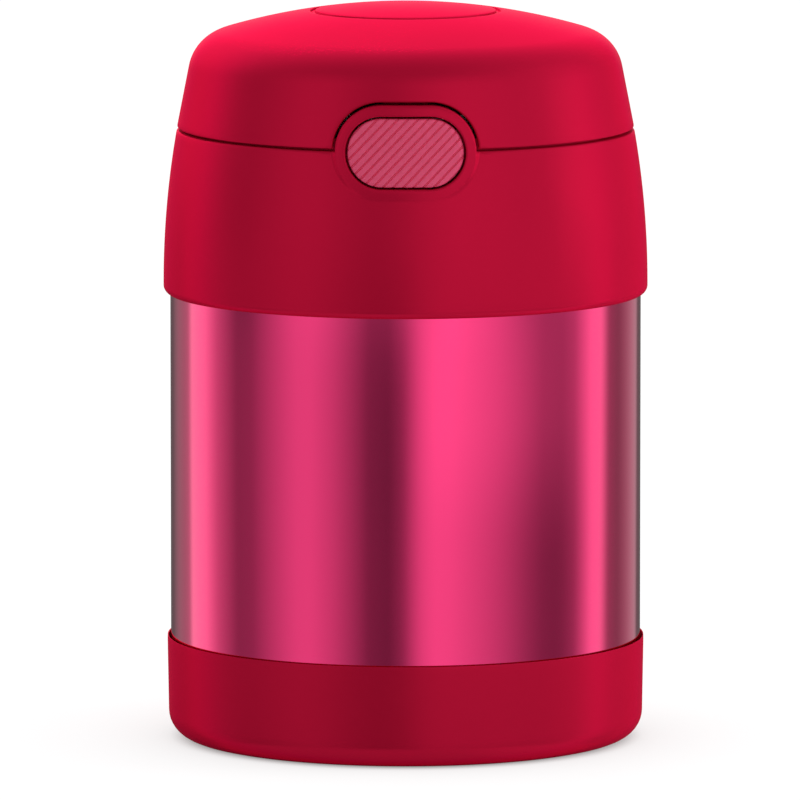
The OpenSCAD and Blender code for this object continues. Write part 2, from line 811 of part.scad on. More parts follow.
module spoon_bowl() {
    start = bowl_x + bowl_l / 2 - 4;
    color(steel) difference() {
        union() {
            intersection() {
                bowl_form(0);
                block(-big, big, -big, big, 0, bowl_rim);
            }
            translate([0, 0, bowl_rim - spoon_t]) linear_extrude(spoon_t)
                polygon([[start, -strap_w * 0.75], [start + 10, -strap_w / 2],
                         [pivot_x - eye_r, -strap_w / 2], [pivot_x - eye_r, -eye_w / 2],
                         [pivot_x, -eye_w / 2], [pivot_x, eye_w / 2],
                         [pivot_x - eye_r, eye_w / 2], [pivot_x - eye_r, strap_w / 2],
                         [start + 10, strap_w / 2], [start, strap_w * 0.75]]);
            translate([pivot_x, 0, 0]) facing(-eye_w / 2, eye_w / 2, pivot_z) circle(eye_r);
        }
        intersection() {
            bowl_form(-spoon_t);
            block(-big, bowl_x + bowl_l / 2, -big, big, 0, big);
        }
        translate([pivot_x, 0, 0]) facing(-eye_w, eye_w, pivot_z) circle(rivet_d / 2 + fit / 2);
    }
}

module spoon_rivet() {
    color(steel) translate([pivot_x, 0, 0]) facing(-handle_w / 2, handle_w / 2, pivot_z)
        circle(rivet_d / 2);
}

module spoon_handle() {
    panel = 2.2;
    panel_depth = 0.4;
    slot = eye_w / 2 + slack;
    color(steel) difference() {
        union() {
            translate([0, 0, handle_z]) linear_extrude(handle_t) {
                translate([spoon_x + handle_w / 2, 0]) circle(d = handle_w);
                translate([spoon_x + handle_w / 2, -handle_w / 2])
                    square([handle_l - handle_w / 2, handle_w]);
            }
            translate([pivot_x, 0, 0]) facing(-handle_w / 2, handle_w / 2, pivot_z) circle(eye_r);
        }
        block(pivot_x - eye_r - slack, pivot_x + eye_r + 1, -slot, slot, 0, big);
        translate([spoon_x + handle_l * 0.44, 0, handle_z + handle_t - panel_depth]) linear_extrude(2)
            stadium(handle_l * 0.88 - 2 * panel, handle_w - 2 * panel);
        translate([pivot_x, 0, 0]) facing(-handle_w, handle_w, pivot_z) circle(rivet_d / 2 + run);
    }
}

base_boot();
outer_shell();
outer_bottom();
inner_liner();
getter();
port_seal();
lid_collar();
inner_lid();
lid_insulation();
insulation_cap();
lid_gasket();
spoon_tray();
cover();
hinge_pin();
hinge_spring();
button();
latch_slide();
latch_spring_left();
latch_spring_right();
spoon_bowl();
spoon_rivet();
spoon_handle();
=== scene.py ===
"""Looks of an insulated food jar: shells, button, hinge, springs, spoon, finishes and studio."""

import json
import math

import bmesh
import bpy
import numpy as np
from bpy.props import FloatProperty, FloatVectorProperty, IntProperty, PointerProperty
from mathutils.geometry import delaunay_2d_cdt
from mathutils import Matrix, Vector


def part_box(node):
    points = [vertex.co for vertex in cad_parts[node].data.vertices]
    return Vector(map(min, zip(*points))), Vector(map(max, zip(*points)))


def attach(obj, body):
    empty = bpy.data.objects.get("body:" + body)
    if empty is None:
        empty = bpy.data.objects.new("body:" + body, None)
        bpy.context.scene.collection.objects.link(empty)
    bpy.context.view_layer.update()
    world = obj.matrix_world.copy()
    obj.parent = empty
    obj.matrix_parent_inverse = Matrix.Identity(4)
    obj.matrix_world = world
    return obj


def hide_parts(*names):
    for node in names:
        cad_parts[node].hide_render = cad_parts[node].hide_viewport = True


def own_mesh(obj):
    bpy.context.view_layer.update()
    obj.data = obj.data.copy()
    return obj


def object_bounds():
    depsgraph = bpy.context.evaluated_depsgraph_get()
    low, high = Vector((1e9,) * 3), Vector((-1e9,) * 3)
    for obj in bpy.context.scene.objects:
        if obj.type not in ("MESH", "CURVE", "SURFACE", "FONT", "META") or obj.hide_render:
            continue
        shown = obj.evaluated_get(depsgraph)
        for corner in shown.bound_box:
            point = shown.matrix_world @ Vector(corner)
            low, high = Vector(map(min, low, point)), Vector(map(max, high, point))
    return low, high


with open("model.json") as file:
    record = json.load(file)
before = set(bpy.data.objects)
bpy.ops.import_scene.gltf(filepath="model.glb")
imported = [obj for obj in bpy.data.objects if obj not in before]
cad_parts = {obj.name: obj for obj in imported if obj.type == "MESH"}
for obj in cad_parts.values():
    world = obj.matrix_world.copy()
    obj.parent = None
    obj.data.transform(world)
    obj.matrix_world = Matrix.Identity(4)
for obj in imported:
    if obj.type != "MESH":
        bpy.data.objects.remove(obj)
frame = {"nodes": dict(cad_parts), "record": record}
CAD_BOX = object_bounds()

bl_info = {
    "name": "Insulated Food Jar",
    "version": (1, 0, 0),
    "blender": (4, 5, 0),
    "location": "View3D > Sidebar > Food Jar",
    "description": "Builds the shells, button, hinge, springs, spoon and finishes of a food jar",
    "category": "Add Mesh",
}

MM = 0.001
ROUND_COUNT = 256                       # facets round a revolved piece
FRONT = math.radians(33)                # half the angle of the stretch that carries rim and arch
EDGE_STEPS = (0.0, 0.1, 0.3, 0.6, 1.0)  # places of a rounded edge's points, in shares of its radius
SMOOTH, SHARP = math.radians(32), math.radians(40)  # edges are smooth or left sharp up to here
HINGE_ROOM = 0.3 * MM                   # room beside the hinge's blocks

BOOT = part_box("base_boot")
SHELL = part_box("outer_shell")
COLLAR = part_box("lid_collar")
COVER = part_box("cover")
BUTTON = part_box("button")
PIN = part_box("hinge_pin")
HINGE_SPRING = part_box("hinge_spring")
LATCH_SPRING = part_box("latch_spring_right")


# ---------------------------------------------------------------- properties

def length(name, text, millimetres):
    """A size that a user can change, given in millimetres and kept in metres."""
    return FloatProperty(name=name, description=text, default=millimetres * MM, min=0.0,
                         soft_max=0.3, precision=5, unit="LENGTH")


def colour(name, text, value):
    """A colour that a user can change, in linear light."""
    return FloatVectorProperty(name=name, description=text, default=value, size=3, min=0.0,
                               max=1.0, subtype="COLOR")


def share(name, text, value):
    """A number from 0 to 1 that a user can change."""
    return FloatProperty(name=name, description=text, default=value, min=0.0, max=1.0,
                         subtype="FACTOR")


def number(name, text, value, low=0.0, high=1000.0):
    """A plain number that a user can change."""
    return FloatProperty(name=name, description=text, default=value, min=low, max=high)


def lean(name, text, value):
    """An angle that a user can change, in radians."""
    return FloatProperty(name=name, description=text, default=value, subtype="ANGLE",
                         unit="ROTATION")


def distance(name, text, metres):
    """A place or distance that a user can change, in metres; it may be below zero."""
    return FloatProperty(name=name, description=text, default=metres, unit="LENGTH")


class FoodJarBody(bpy.types.PropertyGroup):
    """Sizes of the boot and the steel body."""
    boot_round: length("Boot rounding", "Radius round the boot's lower edge", 5.0)
    boot_lip: length("Boot lip", "Height of the rounding outside the boot's upper edge", 1.2)
    boot_bead: length("Boot bead", "Radius inside the boot's upper edge", 0.2)
    boot_rise: length("Boot rise", "How far the lip stands above the boot's plain wall", 0.75)
    boot_taper: length("Boot taper", "How much narrower the boot is at its foot", 0.3)
    boot_floor: length("Boot floor", "Thickness of the boot's floor", 2.4)
    hollow_r: length("Hollow radius", "Radius of the hollow under the boot", 29.0)
    hollow_depth: length("Hollow depth", "Depth of the hollow under the boot", 0.8)
    foot_step: length("Foot step", "How far the shell steps in under the boot", 0.95)
    boot_gap: length("Boot gap", "Gap between the band and the boot's upper edge", 0.4)
    boot_lap: length("Boot lap", "How far the boot reaches up over the band", 2.35)
    clear: length("Clearance", "Gap between pieces that are seated on each other", 0.3)
    shell_t: length("Shell wall", "Thickness of the outer shell", 0.6)
    shoulder_z: length("Shoulder height", "Height of the shell's shoulder", 83.7)
    shoulder_w: length("Shoulder width", "Width of the shoulder inside the band", 6.7)
    shoulder_round: length("Shoulder rounding", "Radius round the shoulder", 1.0)
    neck_fillet: length("Neck fillet", "Radius between shoulder and neck", 3.0)
    thread_start: length("Thread start", "Height of the thread above the shoulder", 3.4)
    thread_room: length("Thread room", "Room between neck and skirt", 1.8)
    thread_pitch: length("Thread pitch", "Height of one turn of the screw thread", 6.0)
    thread_h: length("Thread height", "How far the thread stands out", 1.1)
    thread_w: length("Thread width", "Width of the thread at its root", 2.2)
    thread_turns: number("Thread turns", "Turns of the screw thread", 1.6, 0.5, 2.0)
    skirt_turns: number("Skirt turns", "Turns of the thread in the lid's skirt", 1.1, 0.5, 2.0)


class FoodJarLid(bpy.types.PropertyGroup):
    """Sizes of the collar and the cover."""
    collar_bow: length("Collar curve", "Radius of the collar's long inward curve", 162.0)
    collar_low: length("Collar height", "Height of the collar's lower edge", 82.2)
    collar_round: length("Collar rounding", "Radius round the collar's lower edge", 1.45)
    collar_wide: length("Collar's widest place", "Height at which the collar is widest", 84.0)
    collar_t: length("Collar wall", "Thickness of the collar", 2.2)
    part_z: length("Parting height", "Height of the line between collar and cover", 112.5)
    part_gap: length("Parting gap", "Gap between collar and cover", 0.5)
    edge: length("Edge rounding", "Radius of the edges at the parting line", 0.35)
    cover_t: length("Cover wall", "Thickness of the cover", 1.8)
    cover_round: length("Cover rounding", "Radius between the cover's wall and top", 8.4)
    dome_r: length("Dome radius", "Radius of the domed top", 118.0)
    ring_r: length("Ring radius", "Radius of the ring groove in the top", 17.0)
    ring_w: length("Ring width", "Width of the ring groove", 1.0)
    ring_depth: length("Ring depth", "Depth of the ring groove", 0.4)
    cover_lean: number("Cover lean", "Inward lean of the cover's wall", 0.196, 0.1, 0.25)


class FoodJarButton(bpy.types.PropertyGroup):
    """Sizes of the rim, the button and its grooves."""
    gap: length("Button gap", "Gap round the button", 0.4)
    rim_t: length("Rim wall", "Width of the rim round the button", 1.9)
    rim_proud: length("Rim height", "How far the rim stands out at the parting line", 0.95)
    rim_bow: length("Rim curve", "Radius of the rim's face, seen from the side", 74.0)
    rim_back: length("Rim back", "How far the rim reaches back past the button's skirt", 1.7)
    travel: length("Travel", "How far the button goes in", 2.5)
    rim_blend: length("Rim blend", "Width of the slope from rim to collar", 0.9)
    arch_gap: length("Arch gap", "Gap between the rim and the cover's arch", 0.55)
    sink: length("Button sink", "How far the button lies behind the rim's face", 0.2)
    groove_pitch: length("Groove pitch", "Distance between the button's grooves", 1.31)
    groove_w: length("Groove width", "Width of a groove", 0.3)
    groove_depth: length("Groove depth", "Depth of a groove", 0.4)
    groove_angle: lean("Groove angle", "Slope of the grooves", math.radians(46))
    rim_lean: lean("Rim lean", "Lean of the rim's face", math.radians(6))


class FoodJarHinge(bpy.types.PropertyGroup):
    """Sizes of the hinge, the hook and the springs."""
    barrel_r: length("Barrel radius", "Radius of the hinge barrel", 2.5)
    pocket_r: length("Pocket radius", "Radius of the room round the barrel", 2.9)
    knuckle_x: length("Knuckle place", "Inner side of each knuckle on the cover", 4.6)
    knuckle_w: length("Knuckle width", "Width of each knuckle", 4.6)
    gusset: length("Gusset reach", "Reach of the hinge's gussets up and down", 11.0)
    bevel: length("Bevel", "Width of the softened edges of the hinge", 0.3)
    hook_w: length("Hook width", "Width of the cover's hook", 8.0)
    hook_t: length("Hook thickness", "Thickness of the hook", 1.6)
    hook_nose: length("Hook nose", "How far the hook's nose stands out", 1.3)
    hinge_wire: length("Hinge wire", "Wire of the hinge spring", 0.6)
    latch_wire: length("Latch wire", "Wire of the latch springs", 0.4)
    hinge_turns: number("Hinge turns", "Turns of the hinge spring", 6.5, 3.0, 8.0)
    latch_turns: number("Latch turns", "Turns of each latch spring", 6.0, 4.0, 8.0)


class FoodJarFinish(bpy.types.PropertyGroup):
    """Colours and gloss of the jar's materials."""
    crimson: colour("Crimson", "Moulded plastic of the lid", (0.58, 0.0075, 0.044))
    boot: colour("Boot", "Moulded plastic of the boot", (0.53, 0.0075, 0.041))
    button: colour("Button", "Soft grip surface of the button", (0.98, 0.07, 0.192))
    lacquer: colour("Lacquer", "Clear pink lacquer over steel", (1.0, 0.040, 0.215))
    steel: colour("Steel", "Bare stainless steel", (0.60, 0.61, 0.62))
    silicone: colour("Silicone", "White silicone of the seals", (0.78, 0.79, 0.80))
    foam: colour("Foam", "Insulating foam", (0.85, 0.85, 0.80))
    plastic_gloss: share("Plastic roughness", "Roughness of the lid's plastic", 0.21)
    pearl: share("Pearl", "How strongly the moulded plastic mirrors in its own colour", 0.25)
    boot_gloss: share("Boot roughness", "Roughness of the boot", 0.22)
    metal_gloss: share("Metal roughness", "Roughness of the lacquered steel", 0.12)


class FoodJarStudio(bpy.types.PropertyGroup):
    """Camera, lamps and background."""
    camera_x: distance("Camera across", "Camera's place across", -1.02 * MM)
    camera_y: distance("Camera away", "Camera's place along Y", -2384.9 * MM)
    camera_z: distance("Camera height", "Camera's height", 361.1 * MM)
    camera_pitch: lean("Camera pitch", "How far the camera looks down", 0.1247)
    camera_lens: number("Lens", "Focal length in millimetres", 588.2, 20.0)
    back_light: number("Back light", "Power of the lamp behind, in watts", 31.0)
    left_light: number("Left light", "Power of the left lamp, in watts", 6.6)
    right_light: number("Right light", "Power of the right lamp, in watts", 15.0)
    sky: share("Sky", "Brightness of the room's light on the jar", 0.65)
    floor_size: distance("Floor", "Width of the floor", 8.0)
    floor_glow: share("Floor glow", "How much the camera sees the floor glow", 0.9)
    # These two set a painted contact shadow: ambient occlusion dims the floor's camera-only glow
    # round the jar
    painted_contact_shadow: share("Contact shadow", "Depth of the soft shadow close round the jar", 0.6)
    contact_reach: distance("Contact reach", "Reach of the soft shadow round the jar", 0.06)
    screen_r: distance("Screen distance", "Distance of the studio screens", 1.6)
    canopy_z: distance("Canopy height", "Height of the dark canopy", 1.7)
    screen_count: IntProperty(name="Screen facets", default=180, min=60, max=720,
                              description="Facets of the studio screens")


def settings(name):
    """One of the scene's groups of settings."""
    return getattr(bpy.context.scene, "food_jar_" + name)


# ---------------------------------------------------------------- sections and meshes

def arc(centre, radius, start, end, steps):
    """Points on an arc; the angles are in radians, from the first axis towards the second."""
    return [(centre[0] + radius * math.cos(a), centre[1] + radius * math.sin(a))
            for a in np.linspace(start, end, steps + 1)]


def rounded(corners, steps=6):
    """A closed outline; a corner (x, y, radius) becomes an arc and a corner (x, y) stays sharp."""
    points = []
    for i, corner in enumerate(corners):
        here = np.array(corner[:2], float)
        if len(corner) < 3:
            points.append(tuple(here))
            continue
        before = np.array(corners[i - 1][:2], float) - here
        after = np.array(corners[(i + 1) % len(corners)][:2], float) - here
        before /= np.linalg.norm(before)
        after /= np.linalg.norm(after)
        half = math.acos(np.clip(before @ after, -1, 1)) / 2
        inward = (before + after) / np.linalg.norm(before + after)
        middle = here + inward * corner[2] / math.sin(half)
        reach = corner[2] / math.tan(half)
        first, last = here + before * reach - middle, here + after * reach - middle
        sweep = math.pi - 2 * half
        for s in np.linspace(0, 1, steps + 1):
            mix = math.sin((1 - s) * sweep) * first + math.sin(s * sweep) * last
            points.append(tuple(middle + mix / math.sin(sweep)))
    return points


def around(radius, angle, height):
    """A point at that distance from the axis; angle 0 is the front."""
    return (radius * math.sin(angle), -radius * math.cos(angle), height)


def revolve(outline, count=ROUND_COUNT):
    """Vertices and faces of a closed section (distance from the axis, height) turned about Z."""
    size = len(outline)
    turns = [2 * math.pi * i / count for i in range(count)]
    points = [around(r, a, z) for a in turns for r, z in outline]
    faces = [(i * size + j, (i + 1) % count * size + j,
              (i + 1) % count * size + (j + 1) % size, i * size + (j + 1) % size)
             for i in range(count) for j in range(size)]
    return points, faces


def extrude_across(outline, x0, x1):
    """Vertices and faces of a closed outline in Y and Z, extruded from x0 to x1."""
    size = len(outline)
    points = [(x, y, z) for x in (x0, x1) for y, z in outline]
    faces = [tuple(range(size)), tuple(range(2 * size - 1, size - 1, -1))]
    faces += [(j, (j + 1) % size, size + (j + 1) % size, size + j) for j in range(size)]
    return points, faces


def joined(*solids):
    """Several pairs of vertices and faces as one pair."""
    points, faces = [], []
    for solid_points, solid_faces in solids:
        start = len(points)
        points += [tuple(p) for p in solid_points]
        faces += [tuple(start + i for i in f) for f in solid_faces]
    return points, faces


def linked(name, data):
    """A new object of the scene that shows the given data."""
    made = bpy.data.objects.new(name, data)
    bpy.context.scene.collection.objects.link(made)
    return made


def make_object(name, solid, smooth=SMOOTH):
    """A mesh object of welded, outward-facing surfaces that is smooth up to the given angle."""
    mesh = bpy.data.meshes.new(name)
    mesh.from_pydata(list(solid[0]), [], list(solid[1]))
    build = bmesh.new()
    build.from_mesh(mesh)
    bmesh.ops.remove_doubles(build, verts=build.verts, dist=2e-7)
    bmesh.ops.dissolve_degenerate(build, edges=build.edges, dist=1e-7)
    bmesh.ops.recalc_face_normals(build, faces=build.faces)
    for face in build.faces:
        face.smooth = True
    build.to_mesh(mesh)
    build.free()
    mesh.set_sharp_from_angle(angle=smooth)
    return linked(name, mesh)


def apply_modifiers(made):
    """Puts what the object's modifiers do into its mesh."""
    graph = bpy.context.evaluated_depsgraph_get()
    mesh = bpy.data.meshes.new_from_object(made.evaluated_get(graph))
    made.modifiers.clear()
    made.data = mesh


def soften(made, width, segments=2):
    """Rounds the object's sharp edges."""
    bevel = made.modifiers.new("soft_edges", "BEVEL")
    bevel.width = width
    bevel.segments = segments
    bevel.limit_method = "ANGLE"
    bevel.angle_limit = SHARP
    bevel.harden_normals = False
    apply_modifiers(made)


def absorb(whole, *others):
    """Adds the meshes of other objects to the first one, and removes those objects."""
    build = bmesh.new()
    for made in (whole, *others):
        build.from_mesh(made.data)
    for made in others:
        mesh = made.data
        bpy.data.objects.remove(made)
        bpy.data.meshes.remove(mesh)
    build.to_mesh(whole.data)
    build.free()


def put_on(made, body, slot, material, *nodes):
    """Gives a piece its body and its finish, and hides the CAD nodes that it stands for."""
    made.data.materials.clear()
    made.data.materials.append(material)
    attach(made, body)
    if nodes:
        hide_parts(*nodes)
    return made


def edge_drop(distance, radius):
    """How far a rounded edge has fallen away at a distance from the edge's outermost line."""
    inside = np.clip(radius - distance, 0.0, radius)
    return radius - np.sqrt(radius ** 2 - inside ** 2)


def smoothstep(value):
    """Eases from 0 to 1 as the value goes from 0 to 1."""
    value = np.clip(value, 0.0, 1.0)
    return value * value * (3 - 2 * value)


# ---------------------------------------------------------------- outlines of the lid

def stadium_distance(x, z, width, height, centre_z):
    """Distance outside (+) or inside (-) a lying stadium round (0, centre_z)."""
    straight = (width - height) / 2
    return np.hypot(np.maximum(np.abs(x) - straight, 0.0), z - centre_z) - height / 2


def stadium_loop(width, height, centre_z, grow, spacing):
    """Points round a lying stadium that is grown by a distance."""
    straight, radius = (width - height) / 2, height / 2 + grow
    steps = max(16, int(math.pi * radius / spacing))
    flat = max(2, int(2 * straight / spacing))
    points = arc((straight, centre_z), radius, -math.pi / 2, math.pi / 2, steps)
    points += [(straight - 2 * straight * i / flat, centre_z + radius) for i in range(1, flat)]
    points += arc((-straight, centre_z), radius, math.pi / 2, 3 * math.pi / 2, steps)
    points += [(-straight + 2 * straight * i / flat, centre_z - radius) for i in range(1, flat)]
    return points


class RimOutline:
    """The stadium outlines of the button, its hole and the rim, and the form of the rim's face."""

    def __init__(self):
        sizes, lid = settings("button"), settings("lid")
        self.centre_z = (BUTTON[0].z + BUTTON[1].z) / 2
        self.button = (BUTTON[1].x - BUTTON[0].x, BUTTON[1].z - BUTTON[0].z)
        self.hole = tuple(side + 2 * sizes.gap for side in self.button)
        self.rim = tuple(side + 2 * sizes.rim_t for side in self.hole)
        self.face_r = collar_radius(lid.part_z) + sizes.rim_proud
        self.back_y = BUTTON[1].y + sizes.rim_back
        self.bow, self.lean = sizes.rim_bow, sizes.rim_lean

    def distance(self, x, z):
        """Distance outside (+) or inside (-) the rim's outer outline."""
        return stadium_distance(x, z, *self.rim, self.centre_z)

    def face_radius(self, z):
        """Distance of the rim's face from the jar's axis at a height."""
        middle_r = self.face_r - self.bow * math.cos(self.lean)
        middle_z = self.centre_z - self.bow * math.sin(self.lean)
        return middle_r + np.sqrt(self.bow ** 2 - (z - middle_z) ** 2)


def collar_radius(z):
    """Radius of the collar's outer face at a height."""
    sizes = settings("lid")
    widest = COLLAR[1].x
    centre_z = sizes.collar_wide
    return widest - sizes.collar_bow + np.sqrt(sizes.collar_bow ** 2 - (z - centre_z) ** 2)


class CoverSection:
    """The cover's section: a leaning wall, a fillet and a dome that are tangent to each other."""

    def __init__(self):
        sizes = settings("lid")
        self.base_r, self.base_z = COVER[1].x + 0.03 * MM, sizes.part_z + sizes.part_gap / 2
        self.lean, self.round, self.dome = sizes.cover_lean, sizes.cover_round, sizes.dome_r
        angle = math.atan(self.lean)
        self.angle = angle
        self.dome_c = np.array([0.0, COVER[1].z - self.dome])
        up = np.array([-math.sin(angle), math.cos(angle)])
        into = -np.array([math.cos(angle), math.sin(angle)])
        start = np.array([self.base_r, self.base_z]) + self.round * into - self.dome_c
        along = start @ up
        rise = -along + math.sqrt(along ** 2 - start @ start + (self.dome - self.round) ** 2)
        self.round_c = self.dome_c + start + rise * up

    def radius(self, z):
        """Radius of the outer wall at a height below the fillet."""
        return self.base_r - (z - self.base_z) * self.lean

    def over(self, inset, from_z, steps=14):
        """Points of the section less an inset, from the wall at a height up to the axis."""
        span = self.round_c - self.dome_c
        turn = math.atan2(span[1], span[0])
        points = [(self.radius(from_z) - inset / math.cos(self.angle), from_z)]
        points += arc(self.round_c, self.round - inset, self.angle, turn, steps)
        points += arc(self.dome_c, self.dome - inset, turn, math.pi / 2, 3 * steps)[1:]
        return points


# ---------------------------------------------------------------- walls with cut-outs

class Wall:
    """A wall round the axis, drawn unrolled: the angle from the front across and the height up.
    Its front stretch is triangulated round the outlines that are cut or pressed into it."""

    def __init__(self, columns, rows, unroll):
        self.columns, self.rows, self.unroll = columns, rows, unroll
        self.places, self.faces, self.index = [], [], {}

    def vertex(self, angle, height):
        """The number of the vertex at a place; angles of half a turn are one line behind."""
        if angle > math.pi - 1e-7:
            angle = -math.pi
        key = (round(angle * 1e6), round(height * 1e8))
        if key not in self.index:
            self.index[key] = len(self.places)
            self.places.append((angle, height))
        return self.index[key]

    def fill_back(self, keep):
        """Square cells everywhere outside the front stretch, where keep(angle, height) is true."""
        for a0, a1 in zip(self.columns, self.columns[1:]):
            if abs(a0 + a1) / 2 < FRONT:
                continue
            for z0, z1 in zip(self.rows, self.rows[1:]):
                if keep((a0 + a1) / 2, (z0 + z1) / 2):
                    corners = ((a0, z0), (a1, z0), (a1, z1), (a0, z1))
                    self.faces.append(tuple(self.vertex(*c) for c in corners))

    def fill_front(self, loops, crowded, keep):
        """Triangles in the front stretch: loops are lists of (angle, height) with a flag for a
        closed one, crowded(angle, height) is true where only the loops' points are wanted."""
        columns = [a for a in self.columns if abs(a) < FRONT + 1e-6]
        points, edges = [], []
        for a in columns:
            for z in self.rows:
                rim = a in (columns[0], columns[-1]) or z in (self.rows[0], self.rows[-1])
                if rim or not crowded(a, z):
                    points.append((a, z))
        corners = [(columns[0], self.rows[0]), (columns[-1], self.rows[0]),
                   (columns[-1], self.rows[-1]), (columns[0], self.rows[-1])]
        for loop, closed in [(corners, True)] + loops:
            start = len(points)
            points += loop
            edges += [(start + i, start + i + 1) for i in range(len(loop) - 1)]
            if closed:
                edges.append((start + len(loop) - 1, start))
        flat = [(a * self.unroll / MM, z / MM) for a, z in points]
        made = delaunay_2d_cdt(flat, edges, [], 0, 1e-4)
        spots = []
        for place, sources in zip(made[0], made[3]):
            spots.append(points[sources[0]] if sources
                         else (place[0] * MM / self.unroll, place[1] * MM))
        for face in made[2]:
            a, z = np.mean([spots[i] for i in face], axis=0)
            if keep(a, z):
                self.faces.append(tuple(self.vertex(*spots[i]) for i in face))

    def solid(self, outer, inner, open_height=None, onward=()):
        """Vertices and faces of the whole wall. The edge at open_height isn't closed: from there
        the section goes on along onward, a list of (radius, height, share of the inner angle)."""
        angles, heights = np.array(self.places).T
        outside, inside = outer(angles, heights), inner(angles, heights)
        count = len(angles)
        points = [tuple(p) for p in outside] + [tuple(p) for p in inside]
        faces = list(self.faces) + [tuple(count + i for i in reversed(f)) for f in self.faces]
        sides = {(f[i], f[(i + 1) % len(f)]) for f in self.faces for i in range(len(f))}
        for a, b in sides:
            open_edge = open_height is not None and max(
                abs(heights[a] - open_height), abs(heights[b] - open_height)) < 1e-8
            if (b, a) not in sides and not open_edge:
                faces.append((b, a, count + a, count + b))
        if onward:
            self.go_on(points, faces, count, open_height, onward)
        return points, faces

    def go_on(self, points, faces, count, open_height, onward):
        """Turns the rest of the section round the axis, from the outside to the inside."""
        strips = []
        for angle in self.columns[:-1]:
            i = self.vertex(angle, open_height)
            inner_angle = math.atan2(points[count + i][0], -points[count + i][1])
            if angle < -math.pi + 1e-7:
                inner_angle = angle
            strip = [i]
            for r, z, turned in onward:
                strip.append(len(points))
                points.append(around(r, angle + (inner_angle - angle) * turned, z))
            strips.append(strip + [count + i])
        for k, strip in enumerate(strips):
            other = strips[(k + 1) % len(strips)]
            for j in range(len(strip) - 1):
                ends = [points[i] for i in (strip[j], strip[j + 1])]
                if not all(abs(x) + abs(y) < 1e-9 for x, y, _ in ends):
                    faces.append((strip[j], other[j], other[j + 1], strip[j + 1]))


# Heights of the walls' cells, and how close the points of the outlines cut into them are
LOW_CELL, CELL = 0.9 * MM, 0.8 * MM
COLLAR_SPACING, COVER_SPACING, BUTTON_SPACING = 0.45 * MM, 0.4 * MM, 0.22 * MM
# Nearer than this to the outlines there are no other points
COLLAR_MARGIN, COVER_MARGIN, HOLE_MARGIN = 0.4 * MM, 0.35 * MM, 0.3 * MM
PLAIN_BELOW = 6 * MM                    # so far below the rim the collar is a plain revolve
PLAIN_ABOVE = 0.9 * MM                  # and so far above the arch the cover is one
SLOPE_START = 0.25 * MM                 # how far inside the rim's outline its slope starts


def wall_columns():
    """Angles round the lid, closer together at the front and behind at the hinge."""
    front = np.linspace(-FRONT, FRONT, 61)
    side = np.linspace(FRONT, math.pi, 104)[1:]
    return [-a for a in side[::-1]] + list(front) + list(side)


def clipped(loop, radius_at, lowest=None, highest=None):
    """The runs of a closed loop (x, height) between two heights, as (angle, height) points, each
    with a flag that says if it's still closed. Runs end exactly on the limits."""
    def inside(p):
        return (lowest is None or p[1] >= lowest) and (highest is None or p[1] <= highest)

    def unroll(p):
        return (math.asin(p[0] / radius_at(p[1])), p[1])

    if all(inside(p) for p in loop):
        return [([unroll(p) for p in loop], True)]
    runs, run = [], None
    start = next(i for i, p in enumerate(loop) if not inside(p))
    ring = loop[start:] + loop[:start + 1]
    for here, there in zip(ring, ring[1:]):
        if inside(here) != inside(there):
            limit = lowest if lowest is not None and min(here[1], there[1]) < lowest else highest
            s = (limit - here[1]) / (there[1] - here[1])
            cross = (here[0] + s * (there[0] - here[0]), limit)
            if run is None:
                run = [unroll(cross)]
            else:
                runs.append((run + [unroll(cross)], False))
                run = None
        if run is not None and inside(there):
            run.append(unroll(there))
    return runs


def inner_angles(angles, outer_r, inner_r):
    """Angles on the wall's inside: at the front straight behind the outside's points, along Y."""
    front = np.abs(angles) <= FRONT + 1e-6
    behind = np.arcsin(np.clip(outer_r * np.sin(np.where(front, angles, 0)) / inner_r, -1, 1))
    limit = np.arcsin(outer_r * math.sin(FRONT) / inner_r)
    scale = (math.pi - limit) / (math.pi - FRONT)
    beyond = np.sign(angles) * (math.pi - (math.pi - np.abs(angles)) * scale)
    return np.where(front, behind, beyond)


def spaced(start, end, step):
    """Evenly spaced numbers from start to end, about a step apart."""
    return list(np.linspace(start, end, max(2, round(abs(end - start) / step) + 1)))


